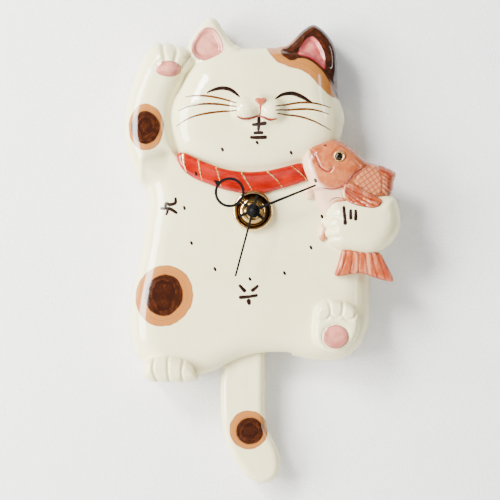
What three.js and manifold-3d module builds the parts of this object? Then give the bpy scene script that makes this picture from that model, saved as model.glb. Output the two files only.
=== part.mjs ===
// Beckoning-cat wall clock with a swinging tail pendulum.
// Millimetres. +X right, +Z up, -Y towards the viewer. The wall is the plane y = 0.
// The origin is on the flat back of the hanger bridge, behind the cat's face.
import * as THREE from 'three';
import { mergeVertices } from 'three/addons/utils/BufferGeometryUtils.js';
import Module from 'manifold-3d';

const wasm = await Module();
wasm.setup();

// ---- driving dimensions ---------------------------------------------------
const HANDS_Z = -70;          // hands' axis, below the origin
const GAP = 0.3;              // air between pieces that touch
const WALL_T = 5.5;           // ceramic wall
const BODY_FRONT = -31;       // torso's front face
const HEAD_FRONT = -36.5;     // head's front face, where its dome starts
const TORSO_ROUND = 9;        // rounding of the torso's front edge
const HEAD_ROUND = 12;        // rounding of the head's front edge
const TAIL_BACK = -5.5;       // tail's back and front faces
const TAIL_FRONT = -19.5;
const TAIL_ROUND = 4.6;
const NOTCH_FRONT = -21.4;    // the tail's slot in the lower wall
const PIVOT_X = -3.9;         // pendulum's pivot
const PIVOT_Z = -104;
const ROD_Y = -12.6;
const ROD_R = 0.9;
const BELL_R = 14;            // brass escutcheon
const CASE_W = 56;            // pendulum quartz movement
const CASE_TOP = -42;
const CASE_BOTTOM = -140;
const CASE_FRONT = -24;
const CASE_BACK = -6.3;
const CASE_T = 1.4;
const BUSH_R = 3.95;
const AA_R = 7.05;
const AA_L = 50.5;
const HAND_T = 0.6;
const HOUR_Y = -43.0;         // front faces of the hands
const MINUTE_Y = -45.8;
const SECOND_Y = -48.2;
const HOUR_DEG = 308;         // clockwise from twelve, as seen from the front
const MINUTE_DEG = 68;
const SECOND_DEG = 195;

const TORSO = [[-71.1, -33.4], [-77.8, -40.8], [-75.7, -51.1], [-72.8, -61.3], [-73.6, -71.9],
  [-75.2, -82.4], [-76.8, -93], [-78.8, -103.4], [-81.1, -113.9], [-83.5, -124.2], [-85.1, -134.8],
  [-86, -145.4], [-85.4, -156], [-83, -166.4], [-77.5, -175.5], [-73.3, -185], [-63, -187.6],
  [-52.4, -187.6], [-41.8, -186.6], [-31.4, -184.2], [-21.5, -180.1], [-12.1, -175.1], [-2.1, -171.4],
  [8.4, -169.8], [19, -169.4], [29.6, -170.9], [40, -173.3], [50.6, -174.1], [61.2, -173], [70.5, -167.9],
  [77.1, -159.7], [80.6, -149.7], [81.7, -139.1], [81.5, -128.4], [81.5, -117.8], [83, -107.2],
  [86.7, -97.2], [90.8, -87.4], [92, -76.9], [90.4, -66.4], [86.3, -56.6], [80, -48], [72.9, -40.1],
  [64.5, -33.5], [55.1, -28.6], [44.7, -26.2], [34.1, -25.3], [23.5, -24.4], [12.8, -23.6], [2.2, -23.1],
  [-8.5, -23.2], [-19.1, -23.7], [-29.8, -24.6], [-40.4, -25.5], [-51, -26.7], [-61.3, -29.1]];
const HEAD = [[-40.7, 32.8], [-45.5, 26.5], [-49.3, 19.6], [-53.2, 12.7], [-57, 5.7], [-58.9, -1.9],
  [-58.8, -9.9], [-57.3, -17.6], [-54.8, -25.2], [-50.6, -31.8], [-44.4, -36.7], [-37.2, -40],
  [-29.7, -42.5], [-22, -44.4], [-14.2, -45.7], [-6.3, -46.3], [1.7, -46.3], [9.6, -45.8], [17.4, -44.7],
  [25.2, -42.9], [32.7, -40.6], [40.2, -37.8], [47.2, -34.1], [53.6, -29.4], [58.9, -23.5], [61.7, -16.2],
  [63.2, -8.4], [62.7, -0.6], [60.1, 6.9], [58.5, 14.6], [57.6, 22.5], [55.2, 30], [50.2, 36.2],
  [43.6, 40.5], [36.1, 42.9], [28.2, 43.7], [20.3, 43.9], [12.3, 43.7], [4.4, 43.4], [-3.5, 43.1],
  [-11.4, 43.2], [-19.3, 42.2], [-27.1, 40.6], [-34.4, 37.6]];
const EAR_L = [[-44.5, 36.4], [-41.6, 32.3], [-37.2, 29.9], [-32.2, 29.4], [-27.3, 30.3], [-22.5, 31.7],
  [-17.8, 33.5], [-13.3, 35.8], [-9.7, 39.3], [-8.7, 43.9], [-13.1, 46.2], [-16.6, 49.9], [-19.4, 54],
  [-22, 58.3], [-24.8, 62.5], [-29.2, 64.7], [-33.6, 62.4], [-37.1, 58.7], [-40, 54.6], [-42.6, 50.3],
  [-45, 45.9], [-46.2, 41.1]];
const EAR_R = [[20.6, 38.5], [24.6, 34.9], [29.9, 33.7], [34.9, 31.6], [39.8, 29.1], [44.4, 26.2],
  [48.4, 22.6], [52.1, 18.6], [56.7, 15.9], [58.3, 20.5], [58.5, 25.9], [58.6, 31.4], [58.4, 36.8],
  [57.5, 42.2], [55.4, 47.2], [52.5, 51.8], [48.8, 55.8], [44.4, 59], [39.2, 59], [34.7, 56], [30.8, 52.2],
  [26.9, 48.4], [22.8, 44.9], [17.9, 43.2]];
const ARM_UP = [[-53.7, -31.9], [-51.8, -25.8], [-53.2, -19.3], [-54.5, -12.9], [-54.9, -6.3], [-54.5, 0.3],
  [-53, 6.7], [-50.5, 12.8], [-48.1, 18.9], [-45.7, 25], [-41.2, 29.9], [-40, 36.1], [-43.6, 41.5],
  [-49.5, 44.4], [-55.8, 46.2], [-62.3, 47.1], [-68.7, 45.9], [-73.5, 41.5], [-76.9, 35.8], [-79.6, 29.8],
  [-82, 23.7], [-84.2, 17.4], [-86, 11.1], [-87.5, 4.7], [-88.7, -1.8], [-89.4, -8.4], [-89.4, -15],
  [-88.7, -21.5], [-87.3, -27.9], [-85.2, -34.2], [-82.5, -40.2], [-79.5, -46.1], [-74.8, -45.5],
  [-70.9, -40.2], [-65.7, -36.2], [-60, -32.7]];
const ARM_HOLD = [[50.4, -68.4], [48.8, -74.2], [47.8, -80.2], [48.7, -86.1], [51.3, -91.6], [56, -95.3],
  [61.7, -97.3], [67.7, -98.3], [73.6, -99.6], [79.6, -100.3], [85.6, -99.4], [91, -96.7], [95.5, -92.6],
  [99, -87.7], [101.2, -82.1], [101.7, -76.1], [101.2, -70], [99.5, -64.2], [95.6, -59.8], [89.6, -59.3],
  [83.6, -59.7], [77.5, -60.1], [71.5, -60.6], [65.5, -61.2], [59.4, -61.5], [53.8, -63.4]];
const FOOT_L = [[-76, -182.4], [-73.4, -186.2], [-68.9, -187.7], [-64.2, -188.1], [-59.4, -188.3],
  [-54.7, -188.3], [-49.9, -188.1], [-45.2, -187.6], [-40.5, -186.8], [-37.6, -183.8], [-39.1, -179.3],
  [-42.3, -175.8], [-46.4, -173.3], [-50.8, -171.6], [-55.4, -170.7], [-60.2, -170.3], [-64.9, -170.6],
  [-69.6, -171.4], [-73.8, -173.5], [-75.9, -177.6]];
const FOOT_R = [[42.8, -138.1], [42.1, -143], [41.7, -148], [41.4, -153], [41.7, -158], [43.4, -162.6],
  [47.2, -165.9], [51.9, -167.3], [56.9, -167.5], [61.7, -166], [65.7, -163.1], [69.1, -159.4],
  [71.7, -155.1], [73, -150.3], [73.1, -145.3], [72, -140.4], [69.6, -136], [65.4, -133.4], [60.6, -132.2],
  [55.6, -131.6], [50.7, -132.3], [46.2, -134.5]];
const FISH = [[35.4, -43.4], [37.6, -47.5], [39.4, -51.8], [40.9, -56.3], [42.3, -60.7], [43.9, -65.1],
  [45.8, -69.4], [48.2, -73.4], [51.9, -75.4], [56.1, -73.3], [60.1, -70.9], [64.2, -68.7], [68.8, -67.9],
  [73.5, -67.9], [78.2, -67.8], [82.8, -66.9], [86.8, -64.6], [90.6, -62], [94.6, -59.6], [96.7, -55.5],
  [97.4, -50.8], [98.6, -46.3], [97.2, -42.3], [93.1, -40.2], [88.7, -38.6], [84.1, -37.5], [79.6, -36.3],
  [75.8, -33.7], [72.4, -30.5], [68.9, -27.4], [65.1, -24.6], [61, -22.2], [56.5, -21.2], [51.9, -21.5],
  [47.3, -22.7], [42.9, -24.2], [38.7, -26.2], [35.9, -29.9], [34.3, -34.3], [33.9, -39]];
const FISH_TAIL = [[59.5, -102.3], [58.2, -106.6], [56.7, -110.8], [57, -114.7], [61.5, -114.8],
  [65.9, -114.2], [70.4, -113.5], [74.8, -113.3], [79.2, -114.4], [83.4, -116], [87.7, -117.3], [92, -118.4],
  [96.3, -118.3], [95.6, -114.1], [93.7, -110], [91.5, -106.1], [89.6, -102], [86.7, -98.8], [82.6, -96.9],
  [78.1, -96.6], [73.6, -96.4], [69.2, -96], [64.7, -96.2], [60.7, -97.9]];
const LOBE1 = [[36.2, -54.1], [35.2, -57.1], [35.7, -60.1], [38.5, -61.4], [41.4, -60.4], [42.2, -57.5],
  [41.5, -54.5], [38.9, -52.8]];
const LOBE2 = [[48, -77.6], [46.2, -80.2], [45.2, -83.1], [44.8, -86.3], [45.5, -89.3], [48.2, -90.7],
  [50.7, -89.2], [51.4, -86.1], [50.9, -83], [49.9, -80]];
const COLLAR = [[-51.2, -37.7], [-48.4, -41.5], [-45.1, -44.7], [-41.1, -47.1], [-36.9, -49.1],
  [-32.6, -50.9], [-28.2, -52.4], [-23.8, -53.9], [-19.4, -55.4], [-14.9, -56.6], [-10.3, -57.4],
  [-5.7, -58], [-1, -58.4], [3.6, -58.2], [8.2, -57.5], [12.8, -56.5], [17.3, -55.3], [21.7, -54.1],
  [26.2, -52.8], [30.7, -51.4], [35.1, -49.9], [37.4, -46.2], [36.4, -41.7], [34.4, -37.6], [29.9, -37.3],
  [25.4, -38.6], [20.9, -39.8], [16.4, -40.8], [11.8, -41.8], [7.2, -42.5], [2.6, -42.9], [-2, -43.1],
  [-6.7, -42.9], [-11.3, -42.5], [-15.9, -41.8], [-20.5, -40.7], [-24.9, -39.4], [-29.3, -37.8],
  [-33.6, -36.1], [-37.9, -34.2], [-42.1, -32.2], [-46.3, -30.2], [-50.8, -29.8], [-52.9, -33.4]];
const TAIL = [[-21, -167.3], [-21.5, -174.5], [-21.8, -181.7], [-22.5, -188.8], [-22.7, -196],
  [-22.6, -203.2], [-22.3, -210.4], [-21.6, -217.6], [-20.5, -224.7], [-18.5, -231.6], [-15.9, -238.3],
  [-12.6, -244.7], [-8.6, -250.7], [-3.7, -255.9], [2.6, -259.4], [9.7, -259.7], [15.8, -256.3],
  [18.9, -249.9], [19, -242.7], [17.2, -235.8], [13.9, -229.4], [10.5, -223], [8.9, -216], [8.4, -208.9],
  [8.3, -201.7], [8.3, -194.5], [8.3, -187.3], [8.4, -180.1], [8.5, -172.9], [8.1, -165.7], [3.5, -160.5],
  [-3.5, -158.8], [-10.6, -159], [-17.4, -161.4]];
const EAR_R_IN = [[38.6, 50.1], [35.2, 47.3], [32.4, 42.5], [31.7, 39], [35.2, 36.6], [42.1, 32.8],
  [47.6, 29], [50, 32.8], [49.7, 37.6], [47.6, 43.2], [44.8, 48], [41.4, 50.7]];
const EAR_L_IN = [[-35.2, 54.9], [-38.6, 50.7], [-41.4, 45.2], [-41.4, 40.4], [-37.9, 36.3], [-33.1, 34.9],
  [-27.6, 36.9], [-22.1, 40.4], [-21.4, 43.8], [-23.5, 50.1], [-26.9, 54.9], [-31, 56.3]];

// ---- helpers --------------------------------------------------------------
// a closed solid from a three.js geometry
function solid(geometry) {
  let g = geometry;
  for (const name of Object.keys(g.attributes)) if (name !== 'position') g.deleteAttribute(name);
  g = mergeVertices(g, 1e-4);
  const vertProperties = new Float32Array(g.attributes.position.array);
  let triVerts = new Uint32Array(g.index.array);
  const keep = [];
  for (let i = 0; i < triVerts.length; i += 3) {
    const [a, b, c] = [triVerts[i], triVerts[i + 1], triVerts[i + 2]];
    if (a !== b && b !== c && a !== c) keep.push(a, b, c);
  }
  triVerts = new Uint32Array(keep);
  let v = 0;
  const p = (i) => [vertProperties[3 * i], vertProperties[3 * i + 1], vertProperties[3 * i + 2]];
  for (let i = 0; i < triVerts.length; i += 3) {
    const [a, b, c] = [p(triVerts[i]), p(triVerts[i + 1]), p(triVerts[i + 2])];
    v += a[0] * (b[1] * c[2] - b[2] * c[1]) - a[1] * (b[0] * c[2] - b[2] * c[0]) + a[2] * (b[0] * c[1] - b[1] * c[0]);
  }
  if (v < 0) for (let i = 0; i < triVerts.length; i += 3) {
    const t = triVerts[i + 1]; triVerts[i + 1] = triVerts[i + 2]; triVerts[i + 2] = t;
  }
  return new wasm.Manifold(new wasm.Mesh({ numProp: 3, vertProperties, triVerts }));
}

// outline moved out (d > 0) or in (d < 0) along its corner normals
function offset(pts, d) {
  const n = pts.length;
  return pts.map((p, i) => {
    const a = pts[(i + n - 1) % n], b = pts[(i + 1) % n];
    const e1 = [p[0] - a[0], p[1] - a[1]], e2 = [b[0] - p[0], b[1] - p[1]];
    const l1 = Math.hypot(...e1), l2 = Math.hypot(...e2);
    let nx = e1[1] / l1 + e2[1] / l2, ny = -e1[0] / l1 - e2[0] / l2;
    const l = Math.hypot(nx, ny);
    nx /= l; ny /= l;
    const c = Math.max(0.6, nx * e1[1] / l1 - ny * e1[0] / l1);
    return [p[0] + nx * d / c, p[1] + ny * d / c];
  });
}

function shapeOf(pts, holes = []) {
  const s = new THREE.Shape(pts.map(([x, z]) => new THREE.Vector2(x, z)));
  for (const h of holes) s.holes.push(new THREE.Path(h.map(([x, z]) => new THREE.Vector2(x, z))));
  return s;
}

// plate with a square edge between y = back and y = front, drawn as seen from the front
function plate(pts, back, front, holes = []) {
  const g = new THREE.ExtrudeGeometry(shapeOf(pts, holes), { depth: back - front, bevelEnabled: false });
  g.rotateX(Math.PI / 2);
  g.translate(0, back, 0);
  return solid(g);
}

// the same with its front edge rounded (and its back edge, when both is set)
function pillow(pts, back, front, size, thick, segs = 3, both = false) {
  const extra = both ? 0 : thick + 2;
  const g = new THREE.ExtrudeGeometry(shapeOf(pts), {
    depth: back - front + extra - (both ? 2 : 1) * thick - (both ? 0 : thick), bevelEnabled: true, bevelSize: size,
    bevelThickness: thick, bevelOffset: -size, bevelSegments: segs, steps: 1,
  });
  g.computeBoundingBox();
  g.rotateX(Math.PI / 2);
  g.computeBoundingBox();
  g.translate(0, front - g.boundingBox.min.y, 0);
  let m = solid(g);
  if (!both) m = m.intersect(box(-300, 300, front - 1, back, -400, 300));
  return m;
}

function box(x0, x1, y0, y1, z0, z1) {
  const g = new THREE.BoxGeometry(x1 - x0, y1 - y0, z1 - z0);
  g.translate((x0 + x1) / 2, (y0 + y1) / 2, (z0 + z1) / 2);
  return solid(g);
}

// turned about the Y direction; profile is [radius, y] and starts and ends on the axis or closes
function turned(profile, x, z, segs = 24) {
  const g = new THREE.LatheGeometry(profile.map(([r, y]) => new THREE.Vector2(r, y)), segs);
  g.translate(x, 0, z);
  return solid(g);
}
const disc = (r, y0, y1, x, z, segs = 20) => turned([[0, y0], [r, y0], [r, y1], [0, y1]], x, z, segs);
const tube = (ro, ri, y0, y1, x, z, segs = 20) =>
  turned([[ri, y0], [ro, y0], [ro, y1], [ri, y1], [ri, y0]], x, z, segs);

function ball(x, y, z, rx, ry, rz, w = 14, h = 10) {
  const g = new THREE.SphereGeometry(1, w, h);
  g.rotateX(Math.PI / 2);
  g.scale(rx, ry, rz);
  g.translate(x, y, z);
  return solid(g);
}

// toothed wheel: outline radius r at the pitch line, module m
function gearPts(n, r, m, phase) {
  const pts = [];
  for (let i = 0; i < n; i++) {
    const a = phase + (i * 2 * Math.PI) / n, h = Math.PI / n;
    pts.push([(r + 0.6 * m) * Math.cos(a), (r + 0.6 * m) * Math.sin(a)]);
    pts.push([(r - 1.0 * m) * Math.cos(a + h), (r - 1.0 * m) * Math.sin(a + h)]);
  }
  return pts;
}
function gear(n, r, m, phase, y0, y1, x, z, bore = 0) {
  const outline = gearPts(n, r, m, phase).map(([a, b]) => [a + x, b + z]);
  const holes = [];
  if (bore) {
    const h = [];
    for (let i = 0; i < 12; i++) h.push([x + bore * Math.cos(-i * Math.PI / 6), z + bore * Math.sin(-i * Math.PI / 6)]);
    holes.push(h);
  }
  return plate(outline, y1, y0, holes);
}
// phase of wheel B so that it meshes with wheel A, theta being the direction from A to B
const meshPhase = (nA, phA, nB, theta) => theta + Math.PI - (nA / nB) * (phA - theta) - Math.PI / nB;

function circlePts(x, z, r, n = 24) {
  const pts = [];
  for (let i = 0; i < n; i++) pts.push([x + r * Math.cos(i * 2 * Math.PI / n), z + r * Math.sin(i * 2 * Math.PI / n)]);
  return pts;
}
const rev = (a) => a.slice().reverse();

const group = new THREE.Group();
group.name = 'cat_tail_clock';
function add(name, m, color, roughness, metalness) {
  const out = m.getMesh();
  const g = new THREE.BufferGeometry();
  const pos = new Float32Array((out.vertProperties.length / out.numProp) * 3);
  for (let i = 0; i < pos.length / 3; i++) {
    for (let k = 0; k < 3; k++) pos[3 * i + k] = out.vertProperties[out.numProp * i + k];
  }
  g.setAttribute('position', new THREE.BufferAttribute(pos, 3));
  g.setIndex(new THREE.BufferAttribute(new Uint32Array(out.triVerts), 1));
  g.computeVertexNormals();
  const mesh = new THREE.Mesh(g, new THREE.MeshStandardMaterial({ color, roughness, metalness }));
  mesh.name = name;
  group.add(mesh);
}

// ---- the cat's ceramic body ----------------------------------------------
// the outside, drawn e larger on every side so that applied pieces can be fitted to it
function outside(e) {
  const o = (pts) => (e ? offset(pts, e) : pts);
  let m = pillow(o(TORSO), 0, BODY_FRONT - e, TORSO_ROUND, TORSO_ROUND, 3);
  m = m.add(pillow(o(HEAD), 0, HEAD_FRONT - e, HEAD_ROUND, HEAD_ROUND, 3));
  m = m.add(ball(2.5, -30, 1, 50 + e, 11.5 + e, 35 + e, 22, 12));
  m = m.add(pillow(o(EAR_L), -6, -29 - e, 3.4, 5, 2));
  m = m.add(pillow(o(EAR_R), -6, -29 - e, 2.8, 5, 2));
  m = m.add(pillow(o(ARM_UP), -1.5, -35 - e, 3.6, 7, 3));
  m = m.add(pillow(o(ARM_HOLD), -8, -44 - e, 8, 9, 3));
  m = m.add(pillow(o(FOOT_L), NOTCH_FRONT, -39 - e, 3.6, 6, 2));
  m = m.add(pillow(o(FOOT_R), -20, -42 - e, 5, 6, 2));
  m = m.add(ball(-5.6, -38, 1.5, 9 + e, 5.5 + e, 8 + e, 12, 8));
  m = m.add(ball(11.6, -38, 0.5, 9 + e, 5.5 + e, 8 + e, 12, 8));
  m = m.add(ball(3.2, -37.5, 5, 9 + e, 6.5 + e, 7 + e, 12, 8));
  return m;
}
function makeBody() {
  let m = outside(0);
  // the paw's toe grooves
  for (const [x, z, tilt] of [[-61.8, 41.5, 6], [-54.4, 40.5, -2], [-45.8, 34.5, -32]]) {
    const g = new THREE.CylinderGeometry(0.9, 0.9, 13, 8);
    g.rotateX(Math.PI / 2);
    g.rotateY((tilt * Math.PI) / 180);
    g.translate(x, -34.6, z);
    m = m.subtract(solid(g));
  }
  // recessed inner ears
  m = m.subtract(pillow(EAR_R_IN, -26.8, -40, 0.6, 0.6, 1, true));
  m = m.subtract(pillow(EAR_L_IN, -27.4, -40, 0.6, 0.6, 1, true));
  // hollow, open to the back
  const torsoIn = offset(TORSO, -WALL_T), headIn = offset(HEAD, -WALL_T);
  let hollow = pillow(torsoIn, 5, BODY_FRONT + 5, 5, 5, 2);
  hollow = hollow.add(pillow(headIn, 5, HEAD_FRONT + 5.5, 8, 8, 2));
  m = m.subtract(hollow);
  // hanger bridge with a keyhole for the nail
  let bridge = box(-57, 61, -6, 0, -16, 26);
  bridge = bridge.subtract(disc(4.6, -8, 2, 0, 10, 24)).subtract(box(-2.6, 2.6, -8, 2, 10, 19)).subtract(disc(2.6, -8, 2, 0, 19, 16));
  m = m.add(bridge);
  // hole for the movement's bush, and the tail's slot
  m = m.subtract(disc(BUSH_R + GAP, -60, 5, 0, HANDS_Z, 24));
  m = m.subtract(box(-41, 26.5, NOTCH_FRONT, 5, -200, -150));
  return m.simplify(0.02);
}
const body = makeBody();
const grown = outside(GAP);
add('body_shell', body, 0xe2dfd0, 0.12, 0);

// ---- the sea bream, luted on before glazing -------------------------------
let bream = pillow(FISH, -22, -41.5, 4.4, 6, 3).add(ball(69, -38, -42, 15, 8, 17));
bream = bream.subtract(grown);
const bits = bream.decompose().sort((a, b) => b.volume() - a.volume());
add('sea_bream', bits[0], 0xd98c68, 0.15, 0);
let breamTail = pillow(FISH_TAIL, -24, -37.5, 2.6, 3, 2).subtract(grown);
add('sea_bream_tail', breamTail.decompose().sort((a, b) => b.volume() - a.volume())[0], 0xd98c68, 0.15, 0);

// ---- the collar -----------------------------------------------------------
let collar = pillow(COLLAR, -24, -36.2, 2.6, 2.6, 2).subtract(grown);
collar = collar.subtract(pillow(offset(FISH, GAP), -20, -42, 4.4, 6, 3)).subtract(disc(BELL_R + GAP, -60, 0, 0, HANDS_Z, 32));
add('collar_band', collar.decompose().sort((a, b) => b.volume() - a.volume())[0], 0xc23a22, 0.12, 0);

// ---- bell-shaped brass escutcheon ----------------------------------------
add('bell_escutcheon', turned([[BUSH_R + GAP, -31.3], [BELL_R, -31.3], [BELL_R, -33.2], [BELL_R - 0.9, -35.0], [BELL_R - 2.4, -35.6],
  [BELL_R - 3.4, -35.0], [BELL_R - 3.6, -34.0], [BELL_R - 4.6, -34.4], [8.4, -36.0], [BUSH_R + GAP, -36.2], [BUSH_R + GAP, -31.3]], 0, HANDS_Z, 32),
  0xc9a24a, 0.25, 1);

// ---- movement -------------------------------------------------------------
const HX = 0, HZ = HANDS_Z;
const W = CASE_W / 2;
const roundRect = (x0, x1, z0, z1, r) => {
  const pts = [];
  for (const [cx, cz, a0] of [[x1 - r, z0 + r, -90], [x1 - r, z1 - r, 0], [x0 + r, z1 - r, 90], [x0 + r, z0 + r, 180]])
    for (let k = 0; k <= 3; k++) pts.push([cx + r * Math.cos((a0 + k * 30) * Math.PI / 180), cz + r * Math.sin((a0 + k * 30) * Math.PI / 180)]);
  return pts;
};
let mcase = plate(roundRect(-W, W, CASE_BOTTOM, CASE_TOP, 4), CASE_BACK, CASE_FRONT);
mcase = mcase.subtract(plate(roundRect(-W + CASE_T, W - CASE_T, CASE_BOTTOM + CASE_T, CASE_TOP - CASE_T, 2.6), 5, CASE_FRONT + 1.5));
const BAY_X = -11.2, BAY_Z = -82;
mcase = mcase.add(box(BAY_X, BAY_X + 0.8, CASE_FRONT + 1, CASE_BACK, CASE_BOTTOM + 0.5, BAY_Z));
mcase = mcase.add(box(-W + 0.5, BAY_X + 0.8, CASE_FRONT + 1, CASE_BACK, BAY_Z - 0.8, BAY_Z));
mcase = mcase.subtract(disc(BUSH_R + GAP, -30, -20, HX, HZ));
// slot for the rod, with room for its hook at both ends of the swing
mcase = mcase.subtract(box(PIVOT_X - 7.6, PIVOT_X + 7.6, -16.2, -9, CASE_BOTTOM - 2, CASE_BOTTOM + 13));
add('movement_case', mcase, 0x1b1b1d, 0.45, 0);

const KNOB_X = -14.1, KNOB_Z = HZ - 2;
let cover = plate([[BAY_X + 1, CASE_BOTTOM + 1], [W - 1, CASE_BOTTOM + 1], [W - 1, CASE_TOP - 1], [-W + 1, CASE_TOP - 1], [-W + 1, BAY_Z + 0.2], [BAY_X + 1, BAY_Z + 0.2]], -4.6, -6.0);
cover = cover.subtract(disc(1.6, -10, 0, KNOB_X, KNOB_Z, 12));
add('movement_back_cover', cover, 0x232326, 0.5, 0);

add('threaded_bush', tube(BUSH_R, 2.75, -40.6, -22.9, HX, HZ), 0xb9923f, 0.35, 1);
add('rubber_washer', tube(8, BUSH_R + GAP, -25.7, -24.3, HX, HZ), 0x161616, 0.9, 0);
add('brass_washer', tube(6.6, BUSH_R + GAP, -37.3, -36.5, HX, HZ), 0xc9a24a, 0.3, 1);
{
  const hex = [];
  for (let i = 0; i < 6; i++) hex.push([HX + 6 * Math.cos(i * Math.PI / 3), HZ + 6 * Math.sin(i * Math.PI / 3)]);
  add('hex_nut', plate(hex, -37.6, -39.8, [rev(circlePts(HX, HZ, BUSH_R + GAP, 24))]), 0xc9a24a, 0.3, 1);
}

// ---- hands ----------------------------------------------------------------
// drawn pointing to twelve, then turned clockwise
function turnHand(m, deg) {
  // x' = x cos + z sin, z' = -x sin + z cos about the hands' axis
  return m.translate([0, 0, -HANDS_Z]).rotate([0, deg, 0]).translate([0, 0, HANDS_Z]);
}
function at(m) { return m.translate([0, 0, HANDS_Z]); }
{
  let h = disc(4.6, HOUR_Y, HOUR_Y + HAND_T, 0, 0, 24);
  h = h.add(box(-0.8, 0.8, HOUR_Y, HOUR_Y + HAND_T, 4, 11.4));
  h = h.add(plate([[-1.0, -9.7], [1.0, -9.7], [1.2, -4], [-1.2, -4]], HOUR_Y + HAND_T, HOUR_Y));
  h = h.add(tube(10, 8.7, HOUR_Y, HOUR_Y + HAND_T, 0, 20.3, 32));
  h = h.add(plate([[-2.1, 29.9], [2.1, 29.9], [0, 34.2]], HOUR_Y + HAND_T, HOUR_Y));
  h = h.subtract(disc(2.8, -60, 0, 0, 0, 20));
  add('hour_hand', turnHand(at(h), HOUR_DEG), 0x101010, 0.3, 0.6);
}
{
  let h = disc(4.4, MINUTE_Y, MINUTE_Y + HAND_T, 0, 0, 24);
  h = h.add(plate([[-0.95, 0], [0.95, 0], [0.4, 46.2], [-0.4, 46.2]], MINUTE_Y + HAND_T, MINUTE_Y));
  h = h.add(plate([[-1.1, -9.7], [1.1, -9.7], [1.0, 0], [-1.0, 0]], MINUTE_Y + HAND_T, MINUTE_Y));
  h = h.subtract(disc(1.65, -60, 0, 0, 0, 16));
  add('minute_hand', turnHand(at(h), MINUTE_DEG), 0x101010, 0.3, 0.6);
}
{
  let h = turned([[0, SECOND_Y + 0.9], [2.2, SECOND_Y + 0.9], [2.2, SECOND_Y], [1.4, SECOND_Y - 0.7], [0, SECOND_Y - 1.0]], 0, 0, 20);
  h = h.add(box(-0.42, 0.42, SECOND_Y, SECOND_Y + 0.5, -10.5, 46.5));
  h = h.subtract(disc(0.8, SECOND_Y - 0.2, 0, 0, 0, 12));
  add('second_hand', turnHand(at(h), SECOND_DEG), 0x101010, 0.3, 0.6);
}

// ---- motion work and going train -----------------------------------------
const D = Math.PI / 180;
const dirTo = (x, z, d, deg) => [x + d * Math.cos(deg * D), z + d * Math.sin(deg * D)];
const MW = 7.2;                                   // distance between the motion work's axes
const [IX, IZ] = dirTo(HX, HZ, MW, 180 - 8);       // intermediate wheel
const [KX, KZ] = [KNOB_X, KNOB_Z];
const kDeg = Math.atan2(KZ - IZ, KX - IX);
const phCannon = 0;
const phInter = meshPhase(12, phCannon, 36, (180 - 8) * D);
const phPin = 0.1;
const phHour = meshPhase(10, phPin, 40, (180 - 8) * D + Math.PI);
const phKnob = meshPhase(36, phInter, 12, kDeg);
const BR = 'brass';
add('hour_wheel', gear(40, 5.76, 0.288, phHour, -22.1, -21.1, HX, HZ, 1.65).add(tube(2.5, 1.65, -43.4, -21.6, HX, HZ, 16)), 0xd8d4c8, 0.5, 0);
add('minute_arbor', gear(12, 1.8, 0.3, phCannon, -20.7, -19.5, HX, HZ, 0.75).add(tube(1.35, 0.75, -46.2, -17.4, HX, HZ, 12)), 0xb9923f, 0.35, 1);
add('intermediate_wheel', gear(36, 5.4, 0.3, phInter, -20.6, -19.7, IX, IZ).add(gear(10, 1.44, 0.288, phPin, -22.1, -20.4, IX, IZ)).add(disc(0.4, -20, -11.3, IX, IZ, 8)), 0xd8d4c8, 0.5, 0);
add('setting_knob', turned([[0, -20.7], [1.1, -20.7], [1.1, -4.6], [5.6, -4.3], [6, -3.8], [6, -2.4], [5.2, -1.8], [0, -1.8]], KX, KZ, 20)
  .add(gear(12, 1.8, 0.3, phKnob, -20.6, -19.7, KX, KZ)), 0xd8d4c8, 0.5, 0);
const T1 = 62 * D;                                 // third wheel's direction
const [TX, TZ] = [HX + 7.2 * Math.cos(T1), HZ + 7.2 * Math.sin(T1)];
const phCentre = T1;
const phThirdPin = meshPhase(64, phCentre, 8, T1);
const phThird = T1 + Math.PI;
const phSecPin = meshPhase(60, phThird, 8, T1 + Math.PI);
add('centre_wheel', gear(64, 6.4, 0.2, phCentre, -18.9, -18.2, HX, HZ, 1.65), 0xd8d4c8, 0.5, 0);
add('third_wheel', gear(60, 6.353, 0.2118, phThird, -17.1, -16.4, TX, TZ).add(gear(8, 0.8, 0.2, phThirdPin, -19.0, -16.8, TX, TZ)).add(disc(0.35, -22.0, -11.3, TX, TZ, 8)), 0xd8d4c8, 0.5, 0);
const F1 = -60 * D;
const [FX, FZ] = [HX + 6 * Math.cos(F1), HZ + 6 * Math.sin(F1)];
const phSec = F1;
const phFifthPin = meshPhase(40, phSec, 8, F1);
add('second_wheel', gear(40, 5, 0.25, phSec, -15.5, -14.8, HX, HZ).add(gear(8, 0.847, 0.2118, phSecPin, -17.2, -15.2, HX, HZ)).add(disc(0.5, -48.0, -11.3, HX, HZ, 10)), 0xd8d4c8, 0.5, 0);
const R1 = -25 * D;
const [RX, RZ] = [FX + 5.6 * Math.cos(R1), FZ + 5.6 * Math.sin(R1)];
const phFifth = R1;
const phRotor = meshPhase(48, phFifth, 8, R1);
add('fifth_wheel', gear(48, 4.8, 0.2, phFifth, -14.0, -13.4, FX, FZ).add(gear(8, 1.0, 0.25, phFifthPin, -15.6, -13.7, FX, FZ)).add(disc(0.35, -17.8, -11.3, FX, FZ, 8)), 0xd8d4c8, 0.5, 0);
add('rotor', gear(8, 0.8, 0.2, phRotor, -14.1, -12.9, RX, RZ).add(disc(2.2, -13.0, -11.5, RX, RZ, 16)).add(disc(0.35, -22.0, -11.2, RX, RZ, 8)), 0x3a3a3e, 0.4, 0.6);

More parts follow.
